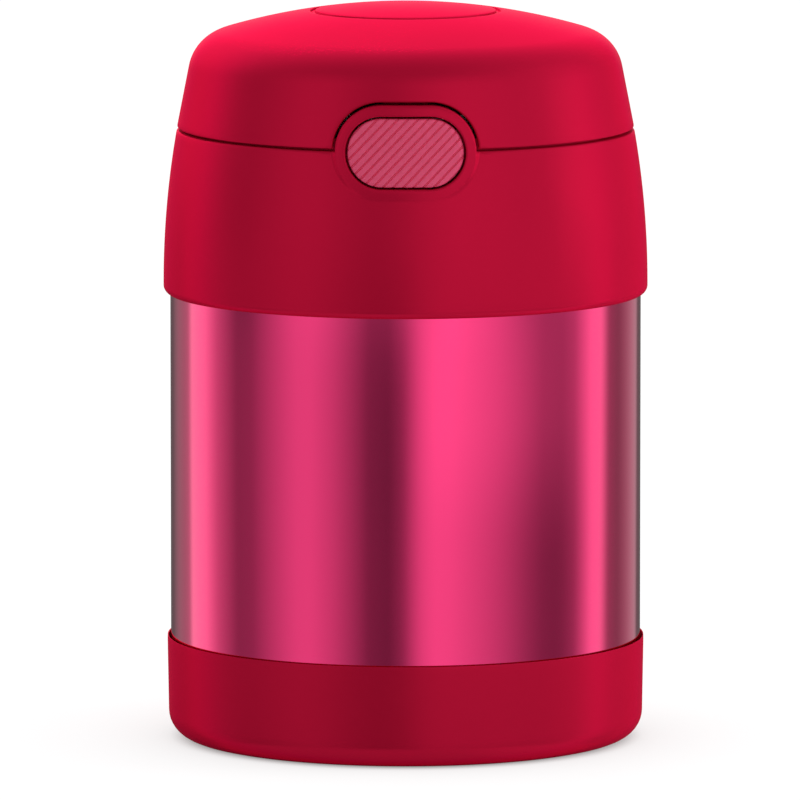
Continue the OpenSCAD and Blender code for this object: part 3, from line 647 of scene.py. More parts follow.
def collar_solid():
    """The collar with the raised rim round the button's hole."""
    sizes, button, hinge = settings("lid"), settings("button"), settings("hinge")
    rim = RimOutline()
    top = sizes.part_z - sizes.part_gap / 2
    low = rim.centre_z - rim.rim[1] / 2 - PLAIN_BELOW
    edge = sizes.edge
    notch_x = hinge.knuckle_x + hinge.knuckle_w + HINGE_ROOM / 2
    notch_z = sizes.part_z - hinge.pocket_r
    rows = spaced(low, notch_z, LOW_CELL) + spaced(notch_z, top - edge, CELL)[1:]
    rows += [top - edge * s for s in EDGE_STEPS[-2::-1]]
    wall = Wall(wall_columns(), rows, collar_radius(top))
    wall.fill_back(lambda a, z: math.cos(a) > 0 or z < notch_z
                   or abs(collar_radius(z) * math.sin(a)) > notch_x)
    steps = [-button.rim_t + s * edge for s in EDGE_STEPS]
    steps += [-1.2 * MM, -0.8 * MM] + [-edge * s for s in EDGE_STEPS[::-1]]
    outside = [button.rim_blend * s for s in (0.2, 0.4, 0.6, 0.8, 1.0, 1.6, 2.4)]
    loops = []
    for grow in steps + outside:
        loop = stadium_loop(*rim.rim, rim.centre_z, grow, COLLAR_SPACING)
        loops += clipped(loop, collar_radius, highest=None if grow <= 0 else top)
    reach = outside[-1] + COLLAR_MARGIN

    def outside_rim(a, z):
        return rim.distance(collar_radius(z) * np.sin(a), z)

    wall.fill_front(
        loops, lambda a, z: -button.rim_t - HOLE_MARGIN < outside_rim(a, z) < reach,
        lambda a, z: outside_rim(a, z) > -button.rim_t and (z < top or outside_rim(a, z) < 0))

    def outer(angles, heights):
        skin = collar_radius(heights)
        x = skin * np.sin(angles)
        d = rim.distance(x, heights)
        front = np.cos(angles) > 0.5
        lift = np.where(front, 1 - smoothstep((d + SLOPE_START) / button.rim_blend), 0.0)
        on_rim = d < 1e-9
        top_drop = np.where(on_rim & (heights > top - edge), edge_drop(-d, edge),
                            edge_drop(top - heights, edge))
        top_drop = np.where(on_rim & (heights <= top - edge), 0.0, top_drop)
        hole_drop = np.where(front, edge_drop(d + button.rim_t, edge), 0.0)
        drop = np.maximum(top_drop, hole_drop)
        plain = skin - drop
        raised = rim.face_radius(heights) - drop
        y_plain = -plain * np.cos(angles)
        y_raised = -np.sqrt(np.maximum(raised ** 2 - x ** 2, 1e-9))
        y = np.where(front, y_plain + (y_raised - y_plain) * lift, y_plain)
        x = np.where(front, x, plain * np.sin(angles))
        return np.column_stack([x, y, heights])

    def inner(angles, heights):
        skin = collar_radius(heights)
        inside = skin - sizes.collar_t
        turned = inner_angles(angles, skin, inside)
        x, y = inside * np.sin(turned), -inside * np.cos(turned)
        d = rim.distance(skin * np.sin(angles), heights)
        ring = (np.cos(angles) > 0.5) & (d < 1e-6)
        return np.column_stack([np.where(ring, skin * np.sin(angles), x),
                                np.where(ring, rim.back_y, y), heights])

    clear = settings("body").clear
    lap_r, lap_z = SHELL[1].x + clear, settings("body").shoulder_z + clear
    middle = (COLLAR[1].x - sizes.collar_round, sizes.collar_low + sizes.collar_round)
    turn = math.acos((lap_r - middle[0]) / sizes.collar_round)
    onward = [(collar_radius(z), z, 0.0) for z in spaced(low, middle[1], 1.2 * MM)[1:]]
    onward += [(r, z, 0.0) for r, z in arc(middle, sizes.collar_round, 0, -turn, 12)[1:]]
    onward += [(lap_r, lap_z, 0.0)]
    onward += [(collar_radius(z) - sizes.collar_t, z, 1.0)
               for z in spaced(lap_z, low, 2 * MM)[:-1]]
    return wall.solid(outer, inner, low, onward)


def cover_solid():
    """The domed cover with the arch that clears the rim and the notch at the hinge."""
    sizes, button, hinge = settings("lid"), settings("button"), settings("hinge")
    rim, section = RimOutline(), CoverSection()
    base, edge = section.base_z, sizes.edge
    arch_top = rim.centre_z + rim.rim[1] / 2 + button.arch_gap
    top = arch_top + PLAIN_ABOVE
    notch_x = PIN[1].x + HINGE_ROOM
    notch_z = sizes.part_z + hinge.pocket_r
    rows = [base + edge * s for s in EDGE_STEPS]
    rows += spaced(base + edge, notch_z, CELL)[1:] + spaced(notch_z, top, CELL)[1:]
    wall = Wall(wall_columns(), rows, section.base_r)
    wall.fill_back(lambda a, z: math.cos(a) > 0 or z > notch_z
                   or abs(section.radius(z) * math.sin(a)) > notch_x)
    loops = []
    outside = [edge * s for s in EDGE_STEPS] + [CELL]
    for grow in outside:
        loop = stadium_loop(*rim.rim, rim.centre_z, button.arch_gap + grow, COVER_SPACING)
        loops += clipped(loop, section.radius, lowest=base)
    reach = button.arch_gap + outside[-1] + COVER_MARGIN

    def outside_rim(a, z):
        return rim.distance(section.radius(z) * np.sin(a), z)

    wall.fill_front(loops, lambda a, z: outside_rim(a, z) < reach,
                    lambda a, z: outside_rim(a, z) > button.arch_gap)

    def outer(angles, heights):
        d = outside_rim(angles, heights) - button.arch_gap
        d = np.where(np.cos(angles) > 0.5, d, 1.0)
        drop = edge_drop(np.minimum(d, heights - base), edge)
        r = section.radius(heights) - drop
        return np.column_stack([r * np.sin(angles), -r * np.cos(angles), heights])

    def inner(angles, heights):
        skin = section.radius(heights)
        r = skin - sizes.cover_t / math.cos(section.angle)
        turned = inner_angles(angles, skin, r)
        return np.column_stack([r * np.sin(turned), -r * np.cos(turned), heights])

    onward = [(r, z, 0.0) for r, z in ring_groove(section.over(0.0, top)[1:])]
    onward += [(r, z, 1.0) for r, z in reversed(section.over(sizes.cover_t, top)[1:])]
    return wall.solid(outer, inner, top, onward)


def ring_groove(points):
    """Puts the ring groove into the dome's section, which runs towards the axis."""
    sizes, section = settings("lid"), CoverSection()

    def on_dome(r, depth):
        return (r, section.dome_c[1] + math.sqrt((sizes.dome_r - depth) ** 2 - r ** 2))

    half, soft = sizes.ring_w / 2, 0.15 * MM
    groove = [on_dome(sizes.ring_r + half + soft, 0.0), on_dome(sizes.ring_r + half, soft / 3),
              on_dome(sizes.ring_r + half - soft, sizes.ring_depth),
              on_dome(sizes.ring_r - half + soft, sizes.ring_depth),
              on_dome(sizes.ring_r - half, soft / 3), on_dome(sizes.ring_r - half - soft, 0.0)]
    before = [p for p in points if p[0] > groove[0][0] + soft]
    after = [p for p in points if p[0] < groove[-1][0] - soft]
    return before + groove + after


# ---------------------------------------------------------------- hinge and hook

def hinge_axis():
    """The hinge's axis, as Y and Z."""
    return ((PIN[0].y + PIN[1].y) / 2, (PIN[0].z + PIN[1].z) / 2)


def hinge_outline(foot, inner, pocket=False):
    """Section of a barrel with its gusset to foot and inner, which are mirrored to lie below the
    axis while it is drawn. With a pocket, the barrel's room is cut out instead."""
    sizes = settings("hinge")
    y, z = hinge_axis()
    way = 1 if foot[1] < z else -1
    foot, inner = (foot[0] - y, (foot[1] - z) * way), (inner[0] - y, (inner[1] - z) * way)
    reach = math.hypot(*foot)
    touch = math.atan2(foot[1], foot[0]) + math.acos(sizes.barrel_r / reach)
    back = math.atan2(inner[1], inner[0])
    if pocket:
        touch_y = sizes.barrel_r * math.cos(touch)
        touch_z = sizes.barrel_r * math.sin(touch)
        s = (-sizes.pocket_r - touch_z) / (foot[1] - touch_z)
        points = [foot, (touch_y + s * (foot[0] - touch_y), -sizes.pocket_r)]
        points += arc((0, 0), sizes.pocket_r, -math.pi / 2, back, 6) + [inner]
    else:
        points = [foot] + arc((0, 0), sizes.barrel_r, touch, back + 2 * math.pi, 40) + [inner]
    return [(y + py, z + pz * way) for py, pz in points]


def hinge_block(name, foot, inner, x0, x1, pocket=False):
    """A block of the hinge with softened edges."""
    made = make_object(name, extrude_across(hinge_outline(foot, inner, pocket), x0, x1))
    soften(made, settings("hinge").bevel)
    return made


def gusset_ends(skin, wall, way):
    """Where a gusset meets the outside and the inside of a wall with the given outer radius at a
    height: below the hinge's axis for way -1, and above it for way 1."""
    sunk, short_of, inset = 0.1 * MM, 0.5 * MM, 1 * MM
    z = hinge_axis()[1] + way * settings("hinge").gusset
    return (skin(z) - sunk, z), (skin(z) - wall + short_of, z - way * inset)


def collar_hinge():
    """The two ears and the block between them, below the hinge's axis."""
    sizes, overlap = settings("hinge"), 0.5 * MM
    ends = gusset_ends(collar_radius, settings("lid").collar_t, -1)
    clear = sizes.knuckle_x + sizes.knuckle_w + HINGE_ROOM
    blocks = [hinge_block("ear", *ends, side * clear, side * PIN[1].x) for side in (-1, 1)]
    return blocks + [hinge_block("ear_bridge", *ends, -clear - overlap, clear + overlap,
                                 pocket=True)]


def cover_hinge():
    """The two knuckles and the block between them, above the hinge's axis."""
    sizes, overlap = settings("hinge"), 0.5 * MM
    ends = gusset_ends(CoverSection().radius, settings("lid").cover_t, 1)
    near, far = sizes.knuckle_x, sizes.knuckle_x + sizes.knuckle_w
    blocks = [hinge_block("knuckle", *ends, side * near, side * far) for side in (-1, 1)]
    return blocks + [hinge_block("knuckle_bridge", *ends, -near - overlap, near + overlap,
                                 pocket=True)]


def hook_block():
    """The hook that hangs behind the button, with its root on the cover's inside."""
    sizes, lid, button = settings("hinge"), settings("lid"), settings("button")
    rim, section = RimOutline(), CoverSection()
    front = BUTTON[1].y + button.travel + 2 * settings("body").clear
    back = front + sizes.hook_t
    low = COVER[0].z
    nose, above_arch, soft = 1.6 * MM, 0.4 * MM, 0.2 * MM
    root = rim.centre_z + rim.rim[1] / 2 + button.arch_gap + above_arch
    roof = [(-r, z) for r, z in section.over(lid.cover_t / 2, root, 24) if r > -back]
    outline = [(front, low), (back, low), (back + sizes.hook_nose, low + nose * 2 / 3),
               (back + sizes.hook_nose, low + nose), (back, low + nose)]
    outline += [(back, roof[-1][1])] + roof[::-1] + [(front, root)]
    made = make_object("hook", extrude_across(outline, -sizes.hook_w / 2, sizes.hook_w / 2))
    soften(made, soft)
    return made


# ---------------------------------------------------------------- button

def button_solid():
    """The button: a stadium plate that follows the rim's face, with slanted grooves."""
    sizes = settings("button")
    rim = RimOutline()
    width, height = rim.button
    edge = 0.35 * MM
    across = np.array([-math.sin(sizes.groove_angle), math.cos(sizes.groove_angle)])
    along = np.array([across[1], -across[0]])
    points, edges = [], []
    for grow in (0.0, -0.12 * edge, -0.4 * edge, -edge, -2 * edge):
        start = len(points)
        loop = stadium_loop(width, height, 0.0, grow, BUTTON_SPACING)
        points += loop
        edges += [(start + i, start + (i + 1) % len(loop)) for i in range(len(loop))]
    half, soft, crown = sizes.groove_w / 2, 0.06 * MM, sizes.groove_pitch / 2
    crown_h = 0.04 * MM
    count = math.ceil(width / sizes.groove_pitch)
    for k in range(-count, count + 1):
        for offset in (-half - soft, -half + soft, half - soft, half + soft, crown):
            b = k * sizes.groove_pitch + offset
            start = len(points)
            points += [tuple(b * across - width * along), tuple(b * across + width * along)]
            edges.append((start, start + 1))
    flat = [(x / MM, z / MM) for x, z in points]
    made = delaunay_2d_cdt(flat, edges, [], 0, 1e-4)
    spots = np.array([tuple(p) for p in made[0]]) * MM

    def inside(face):
        x, z = spots[list(face)].mean(axis=0)
        return stadium_distance(x, z, width, height, 0.0) < 0

    kept = [tuple(f) for f in made[2] if inside(f)]
    b = spots @ across
    phase = np.abs((b / sizes.groove_pitch + 0.5) % 1.0 - 0.5) * sizes.groove_pitch
    groove = sizes.groove_depth * np.clip((half + soft - phase) / (2 * soft), 0, 1)
    pillow = crown_h * (1 - smoothstep((phase - half) / (crown - half)))
    d = -stadium_distance(spots[:, 0], spots[:, 1], width, height, 0.0)
    z = spots[:, 1] + rim.centre_z
    face = rim.face_radius(z) - sizes.sink - np.maximum(groove, pillow) - edge_drop(d, edge)
    front = np.column_stack([spots[:, 0], -np.sqrt(face ** 2 - spots[:, 0] ** 2), z])
    back = np.column_stack([spots[:, 0], np.full(len(z), BUTTON[1].y), z])
    total = len(spots)
    faces = kept + [tuple(total + i for i in reversed(f)) for f in kept]
    sides = {(f[i], f[(i + 1) % 3]) for f in kept for i in range(3)}
    faces += [(q, p, total + p, total + q) for p, q in sides if (q, p) not in sides]
    used = sorted({i for f in faces for i in f})
    place = {i: n for n, i in enumerate(used)}
    every = np.vstack([front, back])
    return every[used].tolist(), [tuple(place[i] for i in f) for f in faces]


# ---------------------------------------------------------------- threads and springs

def thread_solid(radius, start_z, turns, pitch, height, width, inward=False, count=96):
    """A single-start screw thread: a ridge with sloped flanks that fades in and out."""
    way = -1 if inward else 1
    total = int(turns * count)
    sunk, thinnest, fading = 0.15 * MM, 0.02 * MM, 0.09 * count
    points, faces = [], []
    for i in range(total + 1):
        angle = 2 * math.pi * i / count
        z = start_z + pitch * i / count
        rise = max(height * float(smoothstep(min(i, total - i) / fading)), thinnest)
        for r, dz in ((-sunk, -width / 2), (rise * 0.8, -width * 0.26), (rise, -width * 0.16),
                      (rise, width * 0.16), (rise * 0.8, width * 0.26), (-sunk, width / 2)):
            points.append(around(radius + way * r, angle, z + dz))
    for i in range(total):
        for j in range(6):
            k = (j + 1) % 6
            faces.append((6 * i + j, 6 * i + k, 6 * i + 6 + k, 6 * i + 6 + j))
    faces += [tuple(range(6)), tuple(6 * total + j for j in range(5, -1, -1))]
    return points, faces


def wire_curve(name, points, diameter):
    """A round wire along points."""
    data = bpy.data.curves.new(name, "CURVE")
    data.dimensions = "3D"
    data.bevel_depth = diameter / 2
    data.bevel_resolution = 4
    data.use_fill_caps = True
    spline = data.splines.new("POLY")
    spline.points.add(len(points) - 1)
    for knot, place in zip(spline.points, points):
        knot.co = (*place, 1.0)
    return linked(name, data)


def as_mesh(made):
    """The same piece as a mesh object."""
    graph = bpy.context.evaluated_depsgraph_get()
    mesh = bpy.data.meshes.new_from_object(made.evaluated_get(graph))
    name = made.name
    bpy.data.objects.remove(made)
    return linked(name, mesh)


def hinge_coil():
    """Path of the hinge spring: a coil round the pin with a leg on each side."""
    sizes = settings("hinge")
    y, z = hinge_axis()
    r = (HINGE_SPRING[1].z - HINGE_SPRING[0].z - sizes.hinge_wire) / 2
    x = HINGE_SPRING[1].x - sizes.hinge_wire / 2
    reach = y - HINGE_SPRING[0].y
    count = int(36 * sizes.hinge_turns)
    coil = []
    for i in range(count + 1):
        a = -math.pi / 2 + 2 * math.pi * sizes.hinge_turns * i / count
        coil.append((x * (2 * i / count - 1), y + r * math.cos(a), z + r * math.sin(a)))
    return [(-x, y - reach, z - r)] + coil + [(x, y - reach, z + r)]


def latch_coil(side):
    """Path of one latch spring, with a closed turn at each end."""
    sizes = settings("hinge")
    lo, hi = LATCH_SPRING
    wire = sizes.latch_wire
    x, z, r = (lo.x + hi.x) / 2, (lo.z + hi.z) / 2, (hi.x - lo.x - wire) / 2
    pitch = (hi.y - lo.y - 3 * wire) / sizes.latch_turns
    steps = 32
    points = []
    for i in range(int(steps * (sizes.latch_turns + 2)) + 1):
        turn = i / steps
        open_turns = min(max(turn - 1, 0), sizes.latch_turns)
        closed_turns = min(turn, 1) + max(turn - 1 - sizes.latch_turns, 0)
        a = 2 * math.pi * turn
        points.append((side * x + r * math.cos(a),
                       lo.y + wire / 2 + wire * closed_turns + pitch * open_turns,
                       z + r * math.sin(a)))
    return points


# ---------------------------------------------------------------- finishes

class Value:
    """A shader socket in an expression: each operation adds the Math node that works it out."""

    def __init__(self, tree, socket):
        self.tree, self.socket = tree, socket

    def maths(self, operation, *inputs):
        node = self.tree.nodes.new("ShaderNodeMath")
        node.operation = operation
        for socket, value in zip(node.inputs, inputs):
            if isinstance(value, Value):
                self.tree.links.new(value.socket, socket)
            else:
                socket.default_value = value
        return Value(self.tree, node.outputs[0])

    def __add__(self, other):
        return self.maths("ADD", self, other)

    def __sub__(self, other):
        return self.maths("SUBTRACT", self, other)

    def __rsub__(self, other):
        return self.maths("SUBTRACT", other, self)

    def __mul__(self, other):
        return self.maths("MULTIPLY", self, other)

    __radd__, __rmul__ = __add__, __mul__

    def clamped(self):
        return self.maths("MINIMUM", self.maths("MAXIMUM", self, 0.0), 1.0)


class Nodes:
    """A node tree in the making."""

    def __init__(self, tree):
        self.tree = tree
        self.tree.nodes.clear()

    def node(self, kind, given=None, inputs=None, output=0):
        """Adds a node: its settings first, then the values or links of its sockets."""
        made = self.tree.nodes.new(kind)
        for name, value in (given or {}).items():
            if name == "stops":
                ramp = made.color_ramp
                while len(ramp.elements) < len(value):
                    ramp.elements.new(0.5)
                for element, (place, tint) in zip(ramp.elements, value):
                    element.position, element.color = place, (*tint, 1.0)
            else:
                setattr(made, name, value)
        for name, value in (inputs or {}).items():
            if isinstance(value, Value):
                self.tree.links.new(value.socket, made.inputs[name])
            else:
                made.inputs[name].default_value = value
        return Value(self.tree, made.outputs[output] if made.outputs else None)


class Finish(Nodes):
    """One material in the making."""

    def __init__(self, name):
        self.material = bpy.data.materials.new(name)
        self.material.use_nodes = True
        super().__init__(self.material.node_tree)

    def place(self, stretch=(1.0, 1.0, 1.0)):
        """The point on the piece, in metres at rest, stretched along each axis."""
        point = self.node("ShaderNodeTexCoord", output=3)
        return self.node("ShaderNodeVectorMath", {"operation": "MULTIPLY"}, {0: point, 1: stretch})

    def noise(self, place, scale, detail=2.0, roughness=0.5):
        return self.node("ShaderNodeTexNoise", None, {"Vector": place, "Scale": scale,
                                                      "Detail": detail, "Roughness": roughness})

    def mix(self, factor, first, second):
        """Mixes two colours."""
        return self.node("ShaderNodeMix", {"data_type": "RGBA"},
                         {0: factor, 6: (*first, 1.0), 7: (*second, 1.0)}, 2)

    def bump(self, height, strength, distance, normal=None):
        inputs = {"Height": height, "Strength": strength, "Distance": distance}
        if normal is not None:
            inputs["Normal"] = normal
        return self.node("ShaderNodeBump", None, inputs)

    def surface(self, **inputs):
        """Ends the material with a Principled surface; names give its sockets."""
        names = {key.replace("_", " ").title().replace("Ior", "IOR"): value
                 for key, value in inputs.items()}
        for key, value in names.items():
            if isinstance(value, tuple) and len(value) == 3:
                names[key] = (*value, 1.0)
        shader = self.node("ShaderNodeBsdfPrincipled", None, names)
        self.node("ShaderNodeOutputMaterial", None, {"Surface": shader})
        return self.material


def shade(tint, factor):
    """A colour made lighter or darker."""
    return tuple(min(1.0, c * factor) for c in tint)


PEARL_EDGE = (1.0, 0.25, 0.4)           # tint of the moulded plastic's sheen at its edges


def moulded_plastic(name, tint, gloss, pearl, grain):
    """Moulded plastic with a pearly sheen of its own colour: a fine even grain, very faint flow
    marks and slightly uneven gloss."""
    finish = Finish(name)
    place = finish.place()
    flow = finish.noise(finish.place((1.0, 1.0, 0.45)), 70.0, 3.0)
    fine = finish.noise(place, 5200.0, 2.0, 0.6)
    handling = finish.noise(place, 240.0, 4.0, 0.65)
    tone = finish.mix(flow, shade(tint, 0.975), shade(tint, 1.025))
    rough = gloss + (handling - 0.5) * 0.05 + (fine - 0.5) * 0.05
    soft = finish.bump(flow, 0.02, 0.00008)
    return finish.surface(base_color=tone, metallic=pearl, roughness=rough,
                          ior=1.49, specular_ior_level=0.0, specular_tint=PEARL_EDGE,
                          normal=finish.bump(fine, grain, 0.00003, soft))


def grip_plastic(name, tint):
    """The button's soft surface: matt, with a slightly mottled tone."""
    finish = Finish(name)
    place = finish.place()
    mottle = finish.noise(place, 900.0, 4.0, 0.6)
    fine = finish.noise(place, 6500.0, 2.0)
    return finish.surface(base_color=finish.mix(mottle, shade(tint, 0.86), shade(tint, 1.14)),
                          roughness=0.5 + (mottle - 0.5) * 0.12,
                          normal=finish.bump(fine, 0.25, 0.00003))


def lacquered_steel(name, tint, gloss):
    """Steel under a clear pink lacquer: faint polishing lines round the jar and a glossy coat."""
    finish = Finish(name)
    lines = finish.noise(finish.place((9.0, 9.0, 900.0)), 9.0, 3.0, 0.6)
    haze = finish.noise(finish.place(), 45.0, 3.0)
    tone = finish.mix(haze, shade(tint, 0.97), shade(tint, 1.0))
    return finish.surface(base_color=tone, metallic=1.0,
                          roughness=gloss + (lines - 0.5) * 0.05 + (haze - 0.5) * 0.03,
                          coat_weight=0.45, coat_roughness=0.05, coat_ior=1.5,
                          normal=finish.bump(lines, 0.03, 0.00002))


def brushed_steel(name, tint, stretch, gloss):
    """Bare steel with fine brush lines across the direction of the largest stretch."""
    finish = Finish(name)
    lines = finish.noise(finish.place(stretch), 10.0, 4.0, 0.65)
    stain = finish.noise(finish.place(), 60.0, 3.0)
    tone = finish.mix(lines, shade(tint, 0.9), shade(tint, 1.08))
    return finish.surface(base_color=tone, metallic=0.8,
                          roughness=gloss + (lines - 0.5) * 0.14 + (stain - 0.5) * 0.06,
                          normal=finish.bump(lines, 0.12, 0.00002))


def soft_silicone(name, tint):
    """Cloudy white silicone."""
    finish = Finish(name)
    cloud = finish.noise(finish.place(), 180.0, 3.0)
    return finish.surface(base_color=finish.mix(cloud, shade(tint, 0.93), tint),
                          roughness=0.42 + (cloud - 0.5) * 0.08, subsurface_weight=0.15,
                          subsurface_scale=0.001,
                          normal=finish.bump(cloud, 0.1, 0.00005))


def cast_foam(name, tint):
    """Rigid foam with fine open cells."""
    finish = Finish(name)
    cells = finish.node("ShaderNodeTexVoronoi", None, {"Vector": finish.place(), "Scale": 1400.0})
    return finish.surface(base_color=finish.mix((cells * 1.4).clamped(), shade(tint, 0.8), tint),
                          roughness=0.9, normal=finish.bump(cells, 0.5, 0.0002))


FINISHES = {}


def finish_named(name):
    """The jar's materials, each made once."""
    if not FINISHES:
        tints = settings("finish")
        steel = tuple(tints.steel)
        FINISHES.update(
            crimson_plastic=moulded_plastic("crimson_plastic", tuple(tints.crimson),
                                            tints.plastic_gloss, tints.pearl, 0.22),
            boot_rubber=moulded_plastic("boot_rubber", tuple(tints.boot), tints.boot_gloss,
                                        tints.pearl, 0.3),
            button_rubber=grip_plastic("button_rubber", tuple(tints.button)),
            pink_metal=lacquered_steel("pink_metal", tuple(tints.lacquer), tints.metal_gloss),
            bare_steel=brushed_steel("bare_steel", steel, (8.0, 8.0, 700.0), 0.27),
            spoon_steel=brushed_steel("spoon_steel", shade(steel, 1.2), (12.0, 500.0, 60.0), 0.24),
            spring_steel=brushed_steel("spring_steel", shade(steel, 0.8), (60.0, 60.0, 60.0), 0.3),
            silicone=soft_silicone("silicone", tuple(tints.silicone)),
            foam=cast_foam("foam", tuple(tints.foam)))
    return FINISHES[name]


# ---------------------------------------------------------------- operators

class JARLOOK_OT_boot(bpy.types.Operator):
    """Make the moulded boot round the foot"""
    bl_idname = "jarlook.boot"
    bl_label = "Boot"

    def execute(self, context):
        sizes = settings("body")
        top_r, top = BOOT[1].x, BOOT[1].z
        low_r = top_r - sizes.boot_taper
        fit, soft = 0.05 * MM, 0.3 * MM
        inner_r = SHELL[1].x - sizes.foot_step + fit
        lip_r = SHELL[1].x + sizes.boot_gap
        hollow = sizes.hollow_depth
        seat = top - sizes.boot_lap - sizes.clear
        crest_r, crest = lip_r + sizes.boot_bead, top + sizes.boot_rise
        lip = [(crest_r + (top_r - crest_r) * across, crest + sizes.boot_lip * (up - 1))
               for across, up in arc((0, 0), 1, 0, math.pi / 2, 10)]
        lip += arc((crest_r, crest - sizes.boot_bead), sizes.boot_bead, math.pi / 2, math.pi, 5)[1:]
        outline = rounded([
            (0.0, hollow), (sizes.hollow_r - hollow, hollow, soft),
            (sizes.hollow_r, 0.0, soft), (low_r, 0.0, sizes.boot_round),
            *lip, (lip_r, seat), (inner_r, seat),
            (inner_r, sizes.boot_floor), (0.0, sizes.boot_floor)], 10)
        made = make_object("boot", revolve(outline))
        put_on(made, "jar", "boot_rubber", finish_named("boot_rubber"), "base_boot")
        return {"FINISHED"}


class JARLOOK_OT_band(bpy.types.Operator):
    """Make the lacquered steel shell and the screw thread on its neck"""
    bl_idname = "jarlook.band"
    bl_label = "Steel shell"

    def execute(self, context):
        sizes = settings("body")
        wall = sizes.shell_t
        band_r, low, high = SHELL[1].x, SHELL[0].z, SHELL[1].z
        foot_r = band_r - sizes.foot_step
        neck_r = band_r - sizes.shoulder_w
        step = BOOT[1].z - sizes.boot_lap
        shoulder = sizes.shoulder_z
        foot_soft, step_soft, inner_soft = 0.2 * MM, 0.7 * MM, 0.3 * MM
        outline = rounded([
            (foot_r, low), (foot_r, step, foot_soft), (band_r, step, step_soft),
            (band_r, shoulder, sizes.shoulder_round), (neck_r, shoulder, sizes.neck_fillet),
            (neck_r, high), (neck_r - wall, high),
            (neck_r - wall, shoulder - wall, sizes.neck_fillet + wall),
            (band_r - wall, shoulder - wall, sizes.shoulder_round - wall),
            (band_r - wall, step + wall, step_soft - wall),
            (foot_r - wall, step + wall, inner_soft),
            (foot_r - wall, low)], 8)
        thread = thread_solid(neck_r, shoulder + sizes.thread_start, sizes.thread_turns,
                              sizes.thread_pitch, sizes.thread_h, sizes.thread_w)
        made = make_object("band", joined(revolve(outline), thread))
        put_on(made, "jar", "pink_metal", finish_named("pink_metal"), "outer_shell")
        return {"FINISHED"}


class JARLOOK_OT_skirt_thread(bpy.types.Operator):
    """Make the screw thread inside the lid's skirt"""
    bl_idname = "jarlook.skirt_thread"
    bl_label = "Lid thread"

    def execute(self, context):
        sizes = settings("body")
        skirt_r = SHELL[1].x - sizes.shoulder_w + sizes.thread_room
        start = sizes.shoulder_z + sizes.thread_start + sizes.thread_pitch / 2
        thread = thread_solid(skirt_r, start, sizes.skirt_turns, sizes.thread_pitch,
                              sizes.thread_h, sizes.thread_w, inward=True)
        made = make_object("skirt_thread", thread)
        put_on(made, "lid", "crimson_plastic", finish_named("crimson_plastic"))
        return {"FINISHED"}


class JARLOOK_OT_collar(bpy.types.Operator):
    """Make the collar with the button's rim and the hinge's ears"""
    bl_idname = "jarlook.collar"
    bl_label = "Collar"

    def execute(self, context):
        made = make_object("collar", collar_solid())
        absorb(made, *collar_hinge())
        made.data.set_sharp_from_angle(angle=SHARP)
        put_on(made, "lid", "crimson_plastic", finish_named("crimson_plastic"), "lid_collar")
        return {"FINISHED"}


class JARLOOK_OT_cover(bpy.types.Operator):
    """Make the domed cover with its arch, hook and knuckles"""
    bl_idname = "jarlook.cover"
    bl_label = "Cover"

    def execute(self, context):
        made = make_object("dome_cover", cover_solid())
        absorb(made, hook_block(), *cover_hinge())
        made.data.set_sharp_from_angle(angle=SHARP)
        put_on(made, "cover", "crimson_plastic", finish_named("crimson_plastic"), "cover")
        return {"FINISHED"}


class JARLOOK_OT_button(bpy.types.Operator):
    """Make the grooved push button"""
    bl_idname = "jarlook.button"
    bl_label = "Button"

    def execute(self, context):
        made = make_object("push_button", button_solid(), math.radians(28))
        put_on(made, "button", "button_rubber", finish_named("button_rubber"), "button")
        return {"FINISHED"}


class JARLOOK_OT_springs(bpy.types.Operator):
    """Make the hinge spring and the two latch springs"""
    bl_idname = "jarlook.springs"
    bl_label = "Springs"

    def execute(self, context):
        sizes = settings("hinge")
        steel = finish_named("spring_steel")
        back_y = LATCH_SPRING[1].y
        put_on(wire_curve("hinge_coil", hinge_coil(), sizes.hinge_wire),
               "lid", "spring_steel", steel, "hinge_spring")
        for side, hand in ((-1, "left"), (1, "right")):
            coil = as_mesh(wire_curve("latch_coil_" + hand, latch_coil(side), sizes.latch_wire))
            put_on(coil, "lid", "spring_steel", steel, "latch_spring_" + hand)
            1 - settings("button").travel / (back_y - LATCH_SPRING[0].y)
            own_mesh(coil)
        return {"FINISHED"}


class JARLOOK_OT_kept_nodes(bpy.types.Operator):
    """Give the pieces that keep their CAD shape their finishes"""
    bl_idname = "jarlook.kept_nodes"
    bl_label = "Kept pieces"

    def execute(self, context):
        slots = {part["node"]: part["material_slot"] for part in frame["record"]["subparts"]}
        for name, node in frame["nodes"].items():
            node.data.materials.clear()
            node.data.materials.append(finish_named(slots[name]))
        return {"FINISHED"}


class JARLOOK_OT_studio(bpy.types.Operator):
    """Make the floor, the screens, the lamps, the world and the camera"""
    bl_idname = "jarlook.studio"
    bl_label = "Studio"

    def execute(self, context):
        floor = make_floor()
        make_screens()
        make_lamps(floor)
        make_world()
        make_camera()
        return {"FINISHED"}


# ---------------------------------------------------------------- studio

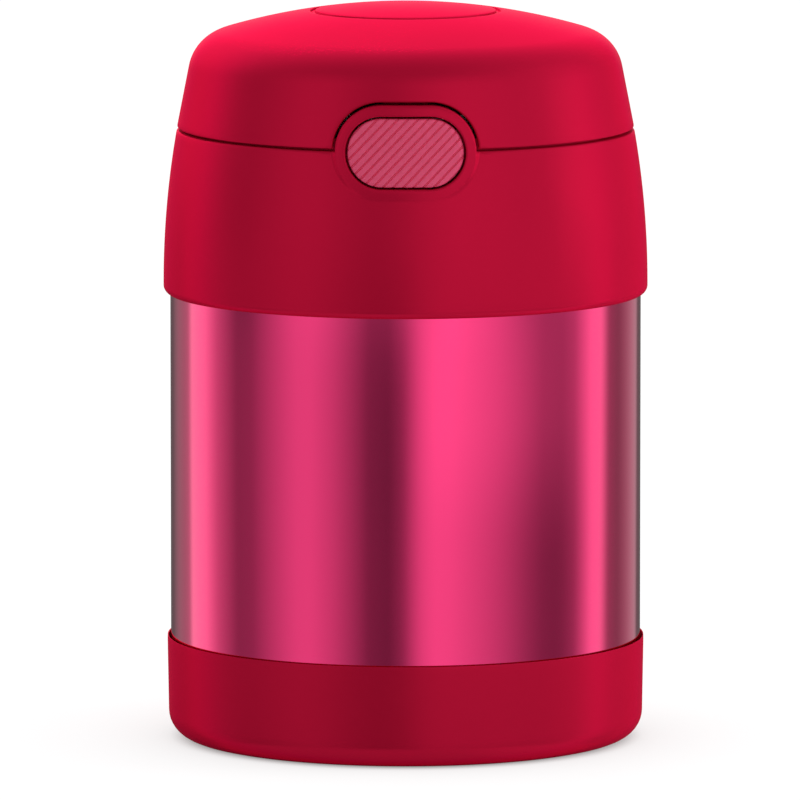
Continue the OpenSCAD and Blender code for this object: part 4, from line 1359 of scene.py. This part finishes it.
# Brightness of the screens that only reflections see, as (degrees from the front towards +X,
# level): the middle ones are what the steel band mirrors, the upper ones what the lid mirrors
MIDDLE_SCREENS = ((-180, 0.12), (-160, 0.12), (-147, 0.3), (-138, 0.36), (-132, 0.46),
                  (-128, 1.08), (-115, 1.08), (-104, 0.58), (-90, 0.24), (-80, 0.27), (-60, 0.66),
                  (-54, 0.76), (-47, 0.78), (-36, 0.6), (-18, 0.19), (-8, 0.15), (-1, 0.27),
                  (8, 0.85), (14, 1.08), (22, 1.08), (45, 0.8), (70, 0.4), (82, 0.36), (90, 0.46),
                  (102, 1.08), (110, 1.08), (117, 0.3), (127, 0.22), (145, 0.44), (153, 0.46),
                  (158, 0.13), (180, 0.12))
UPPER_SCREENS = ((-180, 0.85), (-166, 0.7), (-152, 0.4), (-136, 1.1), (-118, 1.25), (-98, 0.15),
                 (-84, 0.0), (-56, 0.85), (-42, 0.95), (-16, 0.35), (-8, 0.38), (8, 0.92),
                 (24, 1.2), (40, 0.95), (62, 0.4), (76, 0.34), (96, 0.82), (106, 0.86),
                 (128, 0.25), (150, 0.78), (162, 0.85), (172, 0.8), (180, 0.85))
# How much of the middle screens is left low down
LOW_SHARES = ((-180, 1.0), (0, 1.0), (13, 0.86), (37, 0.76), (50, 0.68), (63, 0.56), (77, 0.5),
              (92, 0.7), (104, 0.97), (180, 1.0))
SCREEN_HEIGHTS = (-0.2, -0.09, 0.0, 0.12)      # up to, from and to, and from which they reach
SCREEN_FOOT, SCREEN_TOP = -1.2, 0.62            # the low and the upper ones reach on to these
CANOPY_LEVEL = 0.18                             # brightness of the dark canopy over the jar
FLOOR_LIT, FLOOR_SHOWN = 0.6, 0.2               # grey of the floor to the light and the camera
# Each lamp's place and the setting that holds its power
LAMP_SIZE = 0.6
LAMPS = {"lamp_behind": ((-0.28, 0.78, 0.95), "back_light"),
         "lamp_left": ((-1.1, 0.45, 0.05), "left_light"),
         "lamp_right": ((1.2, 0.06, 0.06), "right_light")}


def screen_level(degrees, height):
    """Brightness of the studio's surround in one direction, at a height of the screens."""
    turned = (degrees + 180) % 360 - 180
    middle, upper, low_share = (np.interp(turned, *zip(*table))
                                for table in (MIDDLE_SCREENS, UPPER_SCREENS, LOW_SHARES))
    return float(np.interp(height, SCREEN_HEIGHTS, (middle * low_share, middle, middle, upper)))


def grey(level):
    """A neutral colour."""
    return (level, level, level, 1.0)


def make_floor():
    """A white floor whose lit part keeps the jar's real shadow. Only the camera sees its glow,
    which ambient occlusion dims where the jar is near: a painted contact shadow."""
    sizes = settings("studio")
    half = sizes.floor_size / 2
    mesh = bpy.data.meshes.new("floor")
    mesh.from_pydata([(-half, -half, 0), (half, -half, 0), (half, half, 0), (-half, half, 0)],
                     [], [(0, 1, 2, 3)])
    floor = linked("floor", mesh)
    finish = Finish("floor_white")
    seen = finish.node("ShaderNodeLightPath", output=0)
    lit, shown = (finish.node("ShaderNodeBsdfDiffuse", None, {"Color": grey(level)})
                  for level in (FLOOR_LIT, FLOOR_SHOWN))
    # Painted contact shadow: ambient occlusion darkens the glow that the camera sees close round
    # the jar
    hidden = 1 - finish.node("ShaderNodeAmbientOcclusion", {"samples": 24},
                             {"Distance": sizes.contact_reach}, 1)
    glow = finish.node("ShaderNodeEmission", None, {
        "Color": grey(1), "Strength": sizes.floor_glow - hidden * hidden * sizes.painted_contact_shadow})
    both = finish.node("ShaderNodeAddShader", None, {0: shown, 1: glow})
    shader = finish.node("ShaderNodeMixShader", None, {0: seen, 1: lit, 2: both})
    finish.node("ShaderNodeOutputMaterial", None, {"Surface": shader})
    mesh.materials.append(finish.material)
    floor.visible_glossy = False
    return floor


def make_screens():
    """Studio screens round the jar, seen by reflections alone."""
    sizes = settings("studio")
    count, r = sizes.screen_count, sizes.screen_r
    heights = (SCREEN_FOOT, *SCREEN_HEIGHTS, SCREEN_TOP, sizes.canopy_z)
    points = [around(r, 2 * math.pi * i / count, z) for z in heights for i in range(count)]
    faces = [(row * count + i, row * count + (i + 1) % count, (row + 1) * count + (i + 1) % count,
              (row + 1) * count + i) for row in range(len(heights) - 1) for i in range(count)]
    faces.append(tuple(range(len(points) - count, len(points))))
    mesh = bpy.data.meshes.new("studio_screens")
    mesh.from_pydata(points, [], faces)
    levels = mesh.color_attributes.new("level", "FLOAT_COLOR", "POINT")
    for i, point in enumerate(points):
        level = (CANOPY_LEVEL if point[2] == heights[-1]
                 else screen_level(360.0 * (i % count) / count, point[2]))
        levels.data[i].color = grey(level)
    screens = linked("studio_screens", mesh)
    finish = Finish("screen_light")
    tone = finish.node("ShaderNodeVertexColor", {"layer_name": "level"})
    glow = finish.node("ShaderNodeEmission", None, {"Color": tone, "Strength": 1.0})
    finish.node("ShaderNodeOutputMaterial", None, {"Surface": glow})
    mesh.materials.append(finish.material)
    screens.visible_camera = screens.visible_diffuse = screens.visible_shadow = False
    screens.visible_transmission = screens.visible_volume_scatter = False


def add_lamp(name, place, aim, size, power):
    """A square soft lamp that looks at a point."""
    data = bpy.data.lights.new(name, "AREA")
    data.shape, data.size, data.energy = "SQUARE", size, power
    lamp = linked(name, data)
    lamp.visible_glossy = False
    lamp.location = place
    way = np.array(aim) - np.array(place)
    lamp.rotation_euler = (math.acos(-way[2] / np.linalg.norm(way)), 0,
                           math.atan2(way[0], -way[1]) + math.pi)
    return lamp


def make_lamps(floor):
    """One large lamp above and behind that leaves the floor out, and one level with the jar on
    each side."""
    sizes = settings("studio")
    middle = (0.0, 0.0, CAD_BOX[1][2] / 2)
    made = {name: add_lamp(name, place, middle, LAMP_SIZE, getattr(sizes, power))
            for name, (place, power) in LAMPS.items()}
    unlit = bpy.data.collections.new("unlit_by_lamp_behind")
    unlit.objects.link(floor)
    unlit.collection_objects[0].light_linking.link_state = "EXCLUDE"
    made["lamp_behind"].light_linking.receiver_collection = unlit


def make_world():
    """White to the camera and in reflections, and a softer light on the jar."""
    world = bpy.data.worlds.new("studio_world")
    bpy.context.scene.world = world
    world.use_nodes = True
    nodes = Nodes(world.node_tree)
    camera, glossy, clear = (nodes.node("ShaderNodeLightPath", output=name) for name in
                             ("Is Camera Ray", "Is Glossy Ray", "Is Transmission Ray"))
    sky = settings("studio").sky
    strength = (camera + glossy + clear).clamped() * (1.0 - sky) + sky
    shader = nodes.node("ShaderNodeBackground", None, {"Color": grey(1), "Strength": strength})
    nodes.node("ShaderNodeOutputWorld", None, {"Surface": shader})


def make_camera():
    """The camera, at the height and distance of the studio's settings."""
    sizes = settings("studio")
    data = bpy.data.cameras.new("camera")
    data.lens, data.sensor_width = sizes.camera_lens, 36.0
    data.clip_start, data.clip_end = 0.05, 50.0
    camera = linked("camera", data)
    camera.location = (sizes.camera_x, sizes.camera_y, sizes.camera_z)
    camera.rotation_euler = (math.pi / 2 - sizes.camera_pitch, 0, 0)
    bpy.context.scene.camera = camera
    bpy.context.scene.view_settings.view_transform = "Standard"


# ---------------------------------------------------------------- panel and registration

OPERATORS = (JARLOOK_OT_studio, JARLOOK_OT_boot, JARLOOK_OT_band, JARLOOK_OT_skirt_thread,
             JARLOOK_OT_collar, JARLOOK_OT_cover, JARLOOK_OT_button, JARLOOK_OT_springs,
             JARLOOK_OT_kept_nodes)
GROUPS = {"body": FoodJarBody, "lid": FoodJarLid, "button": FoodJarButton, "hinge": FoodJarHinge,
          "finish": FoodJarFinish, "studio": FoodJarStudio}


class JARLOOK_PT_panel(bpy.types.Panel):
    """Lists the jar's sizes and the steps that build it"""
    bl_label = "Food Jar"
    bl_idname = "JARLOOK_PT_panel"
    bl_space_type = "VIEW_3D"
    bl_region_type = "UI"
    bl_category = "Food Jar"

    def draw(self, context):
        for operator in OPERATORS:
            self.layout.operator(operator.bl_idname)
        for name, group in GROUPS.items():
            box = self.layout.box()
            box.label(text=name.title())
            for key in group.__annotations__:
                box.prop(settings(name), key)


def register():
    for group in GROUPS.values():
        bpy.utils.register_class(group)
    for name, group in GROUPS.items():
        setattr(bpy.types.Scene, "food_jar_" + name, PointerProperty(type=group))
    for item in (*OPERATORS, JARLOOK_PT_panel):
        bpy.utils.register_class(item)


def unregister():
    for item in (JARLOOK_PT_panel, *reversed(OPERATORS)):
        bpy.utils.unregister_class(item)
    for name in reversed(GROUPS):
        delattr(bpy.types.Scene, "food_jar_" + name)
    for group in reversed(GROUPS.values()):
        bpy.utils.unregister_class(group)


def main():
    register()
    for operator in OPERATORS:
        group, name = operator.bl_idname.split(".")
        getattr(getattr(bpy.ops, group), name)()


if __name__ == "__main__":
    main()
